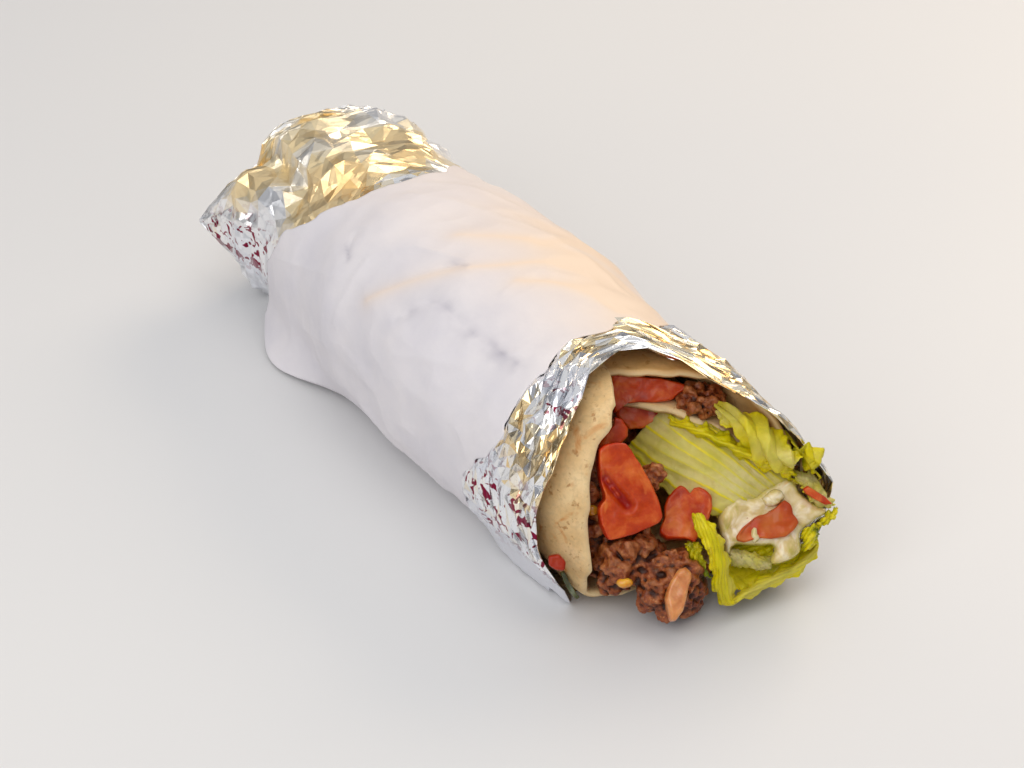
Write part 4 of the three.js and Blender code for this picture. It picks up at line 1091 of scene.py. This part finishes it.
def chunk(random, sphere, radius):
    """A broken lump of browned mince about `radius` in half size, with rough flats and a grainy skin."""
    p = sphere * random.uniform(0.72, 1.35, 3)
    for way, cut in zip(unit(random.normal(size=(9, 3))), random.uniform(0.45, 0.95, 9)):
        p = p - 0.85 * np.maximum(p @ way - cut, 0)[:, None] * way
    p = p * radius
    grain = crumbly(p + random.uniform(-90, 90, 3), (0.34, 1.7), (0.2, 0.8), (0.2, 1.2))
    return (p + unit(p) * grain[:, None] * min(radius / 2.4, 1.2)) @ spun(random).T


# Heaps of mince, each a lumpy core with chunks round it, of sizes from smallest to largest.
MOUNDS = [
    dict(at=(81, -17, 24), half=(11, 10, 17), chunks=95, size=(1.6, 3.9)),
    dict(at=(104.5, -7.2, 11.5), half=(7.2, 8.8, 9.2), chunks=66, size=(1.6, 4.2)),
    dict(at=(96, -15, 19.3), half=(6.8, 8.2, 8.0), chunks=52, size=(1.6, 4.4)),
    dict(at=(93.5, -19.5, 11.8), half=(5.3, 4.8, 4.2), chunks=22, size=(1.3, 2.8)),
]
DEEP_MOUND = dict(at=(57, -2, 36), half=(9, 20, 14), chunks=70, size=(2.4, 4.2))
UPPER_MOUND = dict(at=(78, 19.5, 47.8), half=(6.5, 6, 2.8), chunks=40, size=(1.2, 2.4))
CRUMB_MOUND = dict(at=(91, -5.5, 38.5), half=(2.6, 3.2, 3.2), chunks=16, size=(1.2, 2.4))
VOXEL = 0.39


def fibonacci(count):
    """Ways spread evenly over a sphere."""
    i = np.arange(count) + 0.5
    z = 1 - 2 * i / count
    turn = np.pi * (1 + 5**0.5) * i
    r = np.sqrt(1 - z * z)
    return stacked(r * np.cos(turn), r * np.sin(turn), z)


def inside_slice(point, spec, room=1.5):
    """Whether a point would stand in front of or inside a slice."""
    local = (point - np.array(spec["at"])) @ turned(spec.get("turn", (0, 0, 0)))
    within = reach_inside(local[None, :2], np.array(spec["outline"], float))[0] > -room
    return within and -spec["thickness"] - room < local[2] < 9


def heap(seed, mounds, keep=None):
    """Chunks of mince packed round lumpy cores."""
    random = np.random.default_rng(seed)
    coarse, fine, core = ball(2), ball(3), ball(4)
    parts = []
    for k, mound in enumerate(mounds):
        at, half = np.array(mound["at"], float), np.array(mound["half"], float)
        q = core[0] * half
        lumpy = 0.9 + 0.08 * value_noise(q, 5.0, seed + k) + 0.09 * value_noise(q, 2.2, seed + 5 + k)
        parts.append((at + q * lumpy[:, None], core[1]))
        for way in fibonacci(mound["chunks"]):
            way = unit(way + random.normal(size=3) * 0.09)
            spot = at + way * half * random.uniform(0.84, 0.98)
            low, high = mound["size"]
            radius = low + (high - low) * random.random() ** 1.6
            if keep and not keep(spot + way * radius * 0.5):
                continue
            points, faces = fine if radius > 2.3 else coarse
            parts.append((spot + chunk(random, points, radius), faces))
    return parts


def fused(name, parts):
    """Chunks grown into one crumbly mass, with painted shade in its hollows and painted highlights on its
    crests.
    """
    rough = joined(name, parts)
    grow = rough.modifiers.new("grow", "REMESH")
    grow.mode = "VOXEL"
    grow.voxel_size = VOXEL / 1000
    grown = bpy.data.meshes.new_from_object(rough.evaluated_get(bpy.context.evaluated_depsgraph_get()))
    bpy.data.objects.remove(rough)

    def read(items, field, width, kind=float):
        values = np.zeros(len(items) * width, kind)
        items.foreach_get(field, values)
        return values.reshape(-1, width)

    points = read(grown.vertices, "co", 3) * 1000 + CENTRE
    side = read(grown.vertices, "normal", 3)
    a, b = read(grown.edges, "vertices", 2, int).T
    ends = np.bincount(a, minlength=len(points)) + np.bincount(b, minlength=len(points))
    shared = np.maximum(ends, 1)[:, None]

    def eased_points(p, times):
        for _ in range(times):
            total = (np.bincount(a, p[b, k], len(p)) + np.bincount(b, p[a, k], len(p)) for k in range(3))
            p = lerp(p, stacked(*total) / shared, 0.6)
        return p

    points = eased_points(points, 2)
    points = points + side * crumbly(points, (0.42, 1.9), (0.34, 1.0), (0.3, 1.4))[:, None]
    # Painted shade and highlight: hollows darker, crests lighter, and the lower heap darker.
    crest = ((points - eased_points(points, 40)) * side).sum(-1)
    shaded = 0.3 * smoothstep(-points[:, 2], -19, -7)
    tone = np.clip(0.52 + crest * 0.9 + 0.12 * value_noise(points, 3.5, 7) - shaded, 0, 1)
    points[:, 2] = np.maximum(points[:, 2], 0.3)
    return make(name, points, [tuple(face.vertices) for face in grown.polygons], {"tone": tone})


# ---- Everything in place ----
def dress_wrapping():
    settle(paper_sleeve(), food_material("greaseproof_paper"), "paper", "paper_sleeve")
    settle(foil_wrap(), foil_material(), "foil", "foil_wrap")
    settle(tortilla(), food_material("flour_tortilla"), "tortilla", "tortilla")


def dress_tomatoes():
    material = food_material("cut_tomato")
    strip = dict(TOMATO_STRIP, at=face_point(TOMATO_STRIP["at"]))
    for k, (name, spec) in enumerate([*TOMATOES.items(), ("tomato_strip", strip)]):
        points, faces, local, share = slab(**spec, seed=k + 2)
        rim = smoothstep(share, 0.93, 1.0) * (local[:, 2] < -0.25) * 0.9
        values = {"rim": rim, "gel": 0 * share, "pale": 0 * share}
        if name == "tomato_in_dressing":
            values["pale"] = np.clip(0.35 + 0.5 * value_noise(local, 3, 4), 0, 0.75) * (local[:, 2] > -2)
        # Painted shade: the bit under the foil's edge is darkened all over.
        if name == "tomato_bit_left":
            values["gel"] += 0.85
        if name == "tomato_wedge":
            values["gel"] = smoothstep(-groove(local), 0.25, 1.2)
        piece = make(name + "_fine", points, faces, values)
        settle(piece, material, "tomato", *([name] if name in TOMATOES else []))


def dress_sauce():
    material = food_material("cream_dressing")
    pool = pillow(CREAM, (98.6, -0.05, -0.05), 2.6, 3.2, rim=3.2, lumps=1.1, seed=31)
    drops = (
        pillow(CREAM_DOLLOP, (101.4, 0, 0), 1.8, 2.0, rim=2.2, lumps=0.3, seed=32),
        pillow(CREAM_DRIP, (102.2, 0, 0), 1.2, 1.6, rim=1.2, lumps=0.2, seed=33),
    )
    drops = [(points, faces, np.ones_like(thick)) for points, faces, thick in drops]
    settle(joined("dressing_fine", [pool, *drops], ["thick"]), material, "dressing", "dressing")


def dress_lettuce():
    material = food_material("crisp_lettuce")
    for name in dict.fromkeys(piece for piece, *_ in LEAVES):
        own = [(np.reshape(p, (-1, wide, 3)), form) for piece, wide, p, form in LEAVES if piece == name]
        parts = [leaf(control, **form) for control, form in own]
        settle(joined(name + "_fine", parts, ["tone"]), material, "lettuce", name)


def dress_beef():
    material = food_material("browned_beef")
    slices = TOMATOES["tomato_wedge"], TOMATOES["tomato_dice_right"]

    def clear(spot):
        return spot[2] < 41 and not any(inside_slice(spot, piece) for piece in slices)

    for name, mass in (
        ("ground_beef", heap(61, MOUNDS, clear) + heap(64, [DEEP_MOUND])),
        ("beef_upper", heap(62, [UPPER_MOUND])),
        ("beef_crumb", heap(63, [CRUMB_MOUND])),
    ):
        settle(fused(name + "_fine", mass), material, "beef", name)


def dress_bits():
    """The onion sliver, the strip of green peel and two grains of corn."""
    onion = food_material("soft_onion")
    points, faces, *_ = slab(outline=[
        (-1.1, 6.5), (0.7, 7.3), (2.4, 5.8), (2.4, 4.1), (1.4, 1.0), (0.7, -2.5), (0, -4.9), (-1.9, -7.4),
        (-3.4, -7.4), (-4.0, -4.9), (-4.9, -1.5), (-4.5, 0.6), (-3.3, 3.4), (-2.1, 5.4),
    ], at=(114.0, -10.2, 15.7), thickness=5, turn=(-10, 6, 0), bevel=1.5, rough=0.3, seed=40, softness=0.2)
    settle(make("onion_sliver_fine", points, faces), onion, "onion", "onion_sliver")

    points, faces, *_ = slab(outline=[
        (-2.6, 3.6), (-1.5, 3.9), (-0.2, 1.3), (1.4, -1.5), (2.8, -3.4), (1.8, -3.9), (0.0, -2.1),
        (-1.6, 0.8),
    ], at=face_point((15.8, -55.2, 99.4)), thickness=1.6, bevel=0.5, rough=0.15, seed=44, softness=0.2)
    peel = food_material("green_peel")
    settle(make("green_peel_strip", points, faces), peel, "lettuce")

    corn = food_material("sweet_corn")
    random = np.random.default_rng(5)
    sphere, faces = ball(3)
    kernels = []
    for spot, half in (((21.7, -34.3, 107.4), (1.7, 1.5, 1.3)), ((30.6, -53.9, 109.6), (2.3, 1.4, 1.5))):
        q = sphere * half
        q = q * (1 + 0.08 * value_noise(q + random.uniform(-9, 9, 3), 1.5, 3))[:, None]
        kernels.append((face_point(q + spot), faces))
    settle(joined("corn_kernels", kernels), corn, "beef")


def paint_core():
    """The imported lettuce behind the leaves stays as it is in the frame, with a material of its own."""
    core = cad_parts["lettuce_core"]
    core.data.materials.clear()
    core.data.materials.append(food_material("packed_lettuce"))


# ---- Floor, light and camera ----
# Each light's place and aim in metres, its width and length, its power and its colour.
LIGHTS = {
    "window": ((0.35, -0.7, 0.7), (0, 0, 0.03), (0.8, 0.8), 4.1, (1.0, 0.99, 0.98)),
    "lamp": ((-0.25, 0.75, 0.55), (0, 0, 0.03), (0.6, 0.4), 3.4, (1.0, 0.82, 0.6)),
    "overhead": ((0.15, 0.1, 0.9), (0, 0, 0), (0.5, 0.5), 1.1, (1.0, 0.97, 0.93)),
}
# The sky from straight below at 0 to straight above at 1.
SKY = (
    (0.0, (0.3, 0.3, 0.31, 1)), (0.5, (0.4, 0.41, 0.44, 1)), (0.62, (0.3, 0.31, 0.34, 1)),
    (0.8, (0.8, 0.81, 0.84, 1)), (1.0, (0.9, 0.89, 0.88, 1)),
)
SKY_STRENGTH = 0.78
FLOOR_REACH = 3
FLOOR_DEPTH = 0.0002
# The camera looks at the cut face's origin, from this way and this many metres off.
CAMERA_WAY = Vector((0.6967, -0.4439, 0.5635))
CAMERA_DISTANCE = 0.9768
LENS = 112.5


def stage_floor():
    mesh = bpy.data.meshes.new("floor")
    reach, low = FLOOR_REACH, -FLOOR_DEPTH
    corners = [(-reach, -reach, low), (reach, -reach, low), (reach, reach, low), (-reach, reach, low)]
    mesh.from_pydata(corners, [], [(0, 1, 2, 3)])
    floor = bpy.data.objects.new("floor", mesh)
    bpy.context.scene.collection.objects.link(floor)
    shade = Shade("pale_floor", Roughness=0.45)
    shade.paint(shade.ramp(shade.noise(400, 2), (0.3, (0.7, 0.7, 0.71, 1)), (0.7, (0.73, 0.725, 0.72, 1))))
    floor.data.materials.append(shade.material)


def area_light(name, place, aim, size, power, colour):
    light = bpy.data.lights.new(name, "AREA")
    light.shape = "RECTANGLE"
    light.size, light.size_y = size
    light.energy = power
    light.color = colour
    lamp = bpy.data.objects.new(name, light)
    lamp.location = place
    lamp.rotation_euler = (Vector(aim) - Vector(place)).to_track_quat("-Z", "Y").to_euler()
    bpy.context.scene.collection.objects.link(lamp)


def sky():
    world = bpy.data.worlds.new("studio")
    world.use_nodes = True
    nodes = Nodes(world.node_tree)
    way = nodes.node("TexCoord").outputs["Generated"]
    height = nodes.node("SeparateXYZ", {0: way}).outputs["Z"]
    spread = nodes.node("MapRange", {"Value": height, "From Min": -1}).outputs["Result"]
    background = world.node_tree.nodes["Background"]
    world.node_tree.links.new(nodes.ramp(spread, *SKY), background.inputs["Color"])
    background.inputs["Strength"].default_value = SKY_STRENGTH
    bpy.context.scene.world = world


def camera():
    lens = bpy.data.cameras.new("camera")
    lens.lens = LENS
    lens.sensor_width = 36
    lens.clip_start = 0.01
    eye = bpy.data.objects.new("camera", lens)
    back = CAMERA_WAY.normalized()
    eye.location = (Vector(FACE_ORIGIN) - Vector(CENTRE)) / 1000 + back * CAMERA_DISTANCE
    eye.rotation_euler = back.to_track_quat("Z", "Y").to_euler()
    scene = bpy.context.scene
    scene.collection.objects.link(eye)
    scene.camera = eye
    scene.view_settings.view_transform = "Standard"
    scene.view_settings.look = "None"


dress_wrapping()
dress_tomatoes()
dress_sauce()
dress_lettuce()
dress_beef()
dress_bits()
paint_core()
stage_floor()
sky()
for name, settings in LIGHTS.items():
    area_light(name, *settings)
camera()
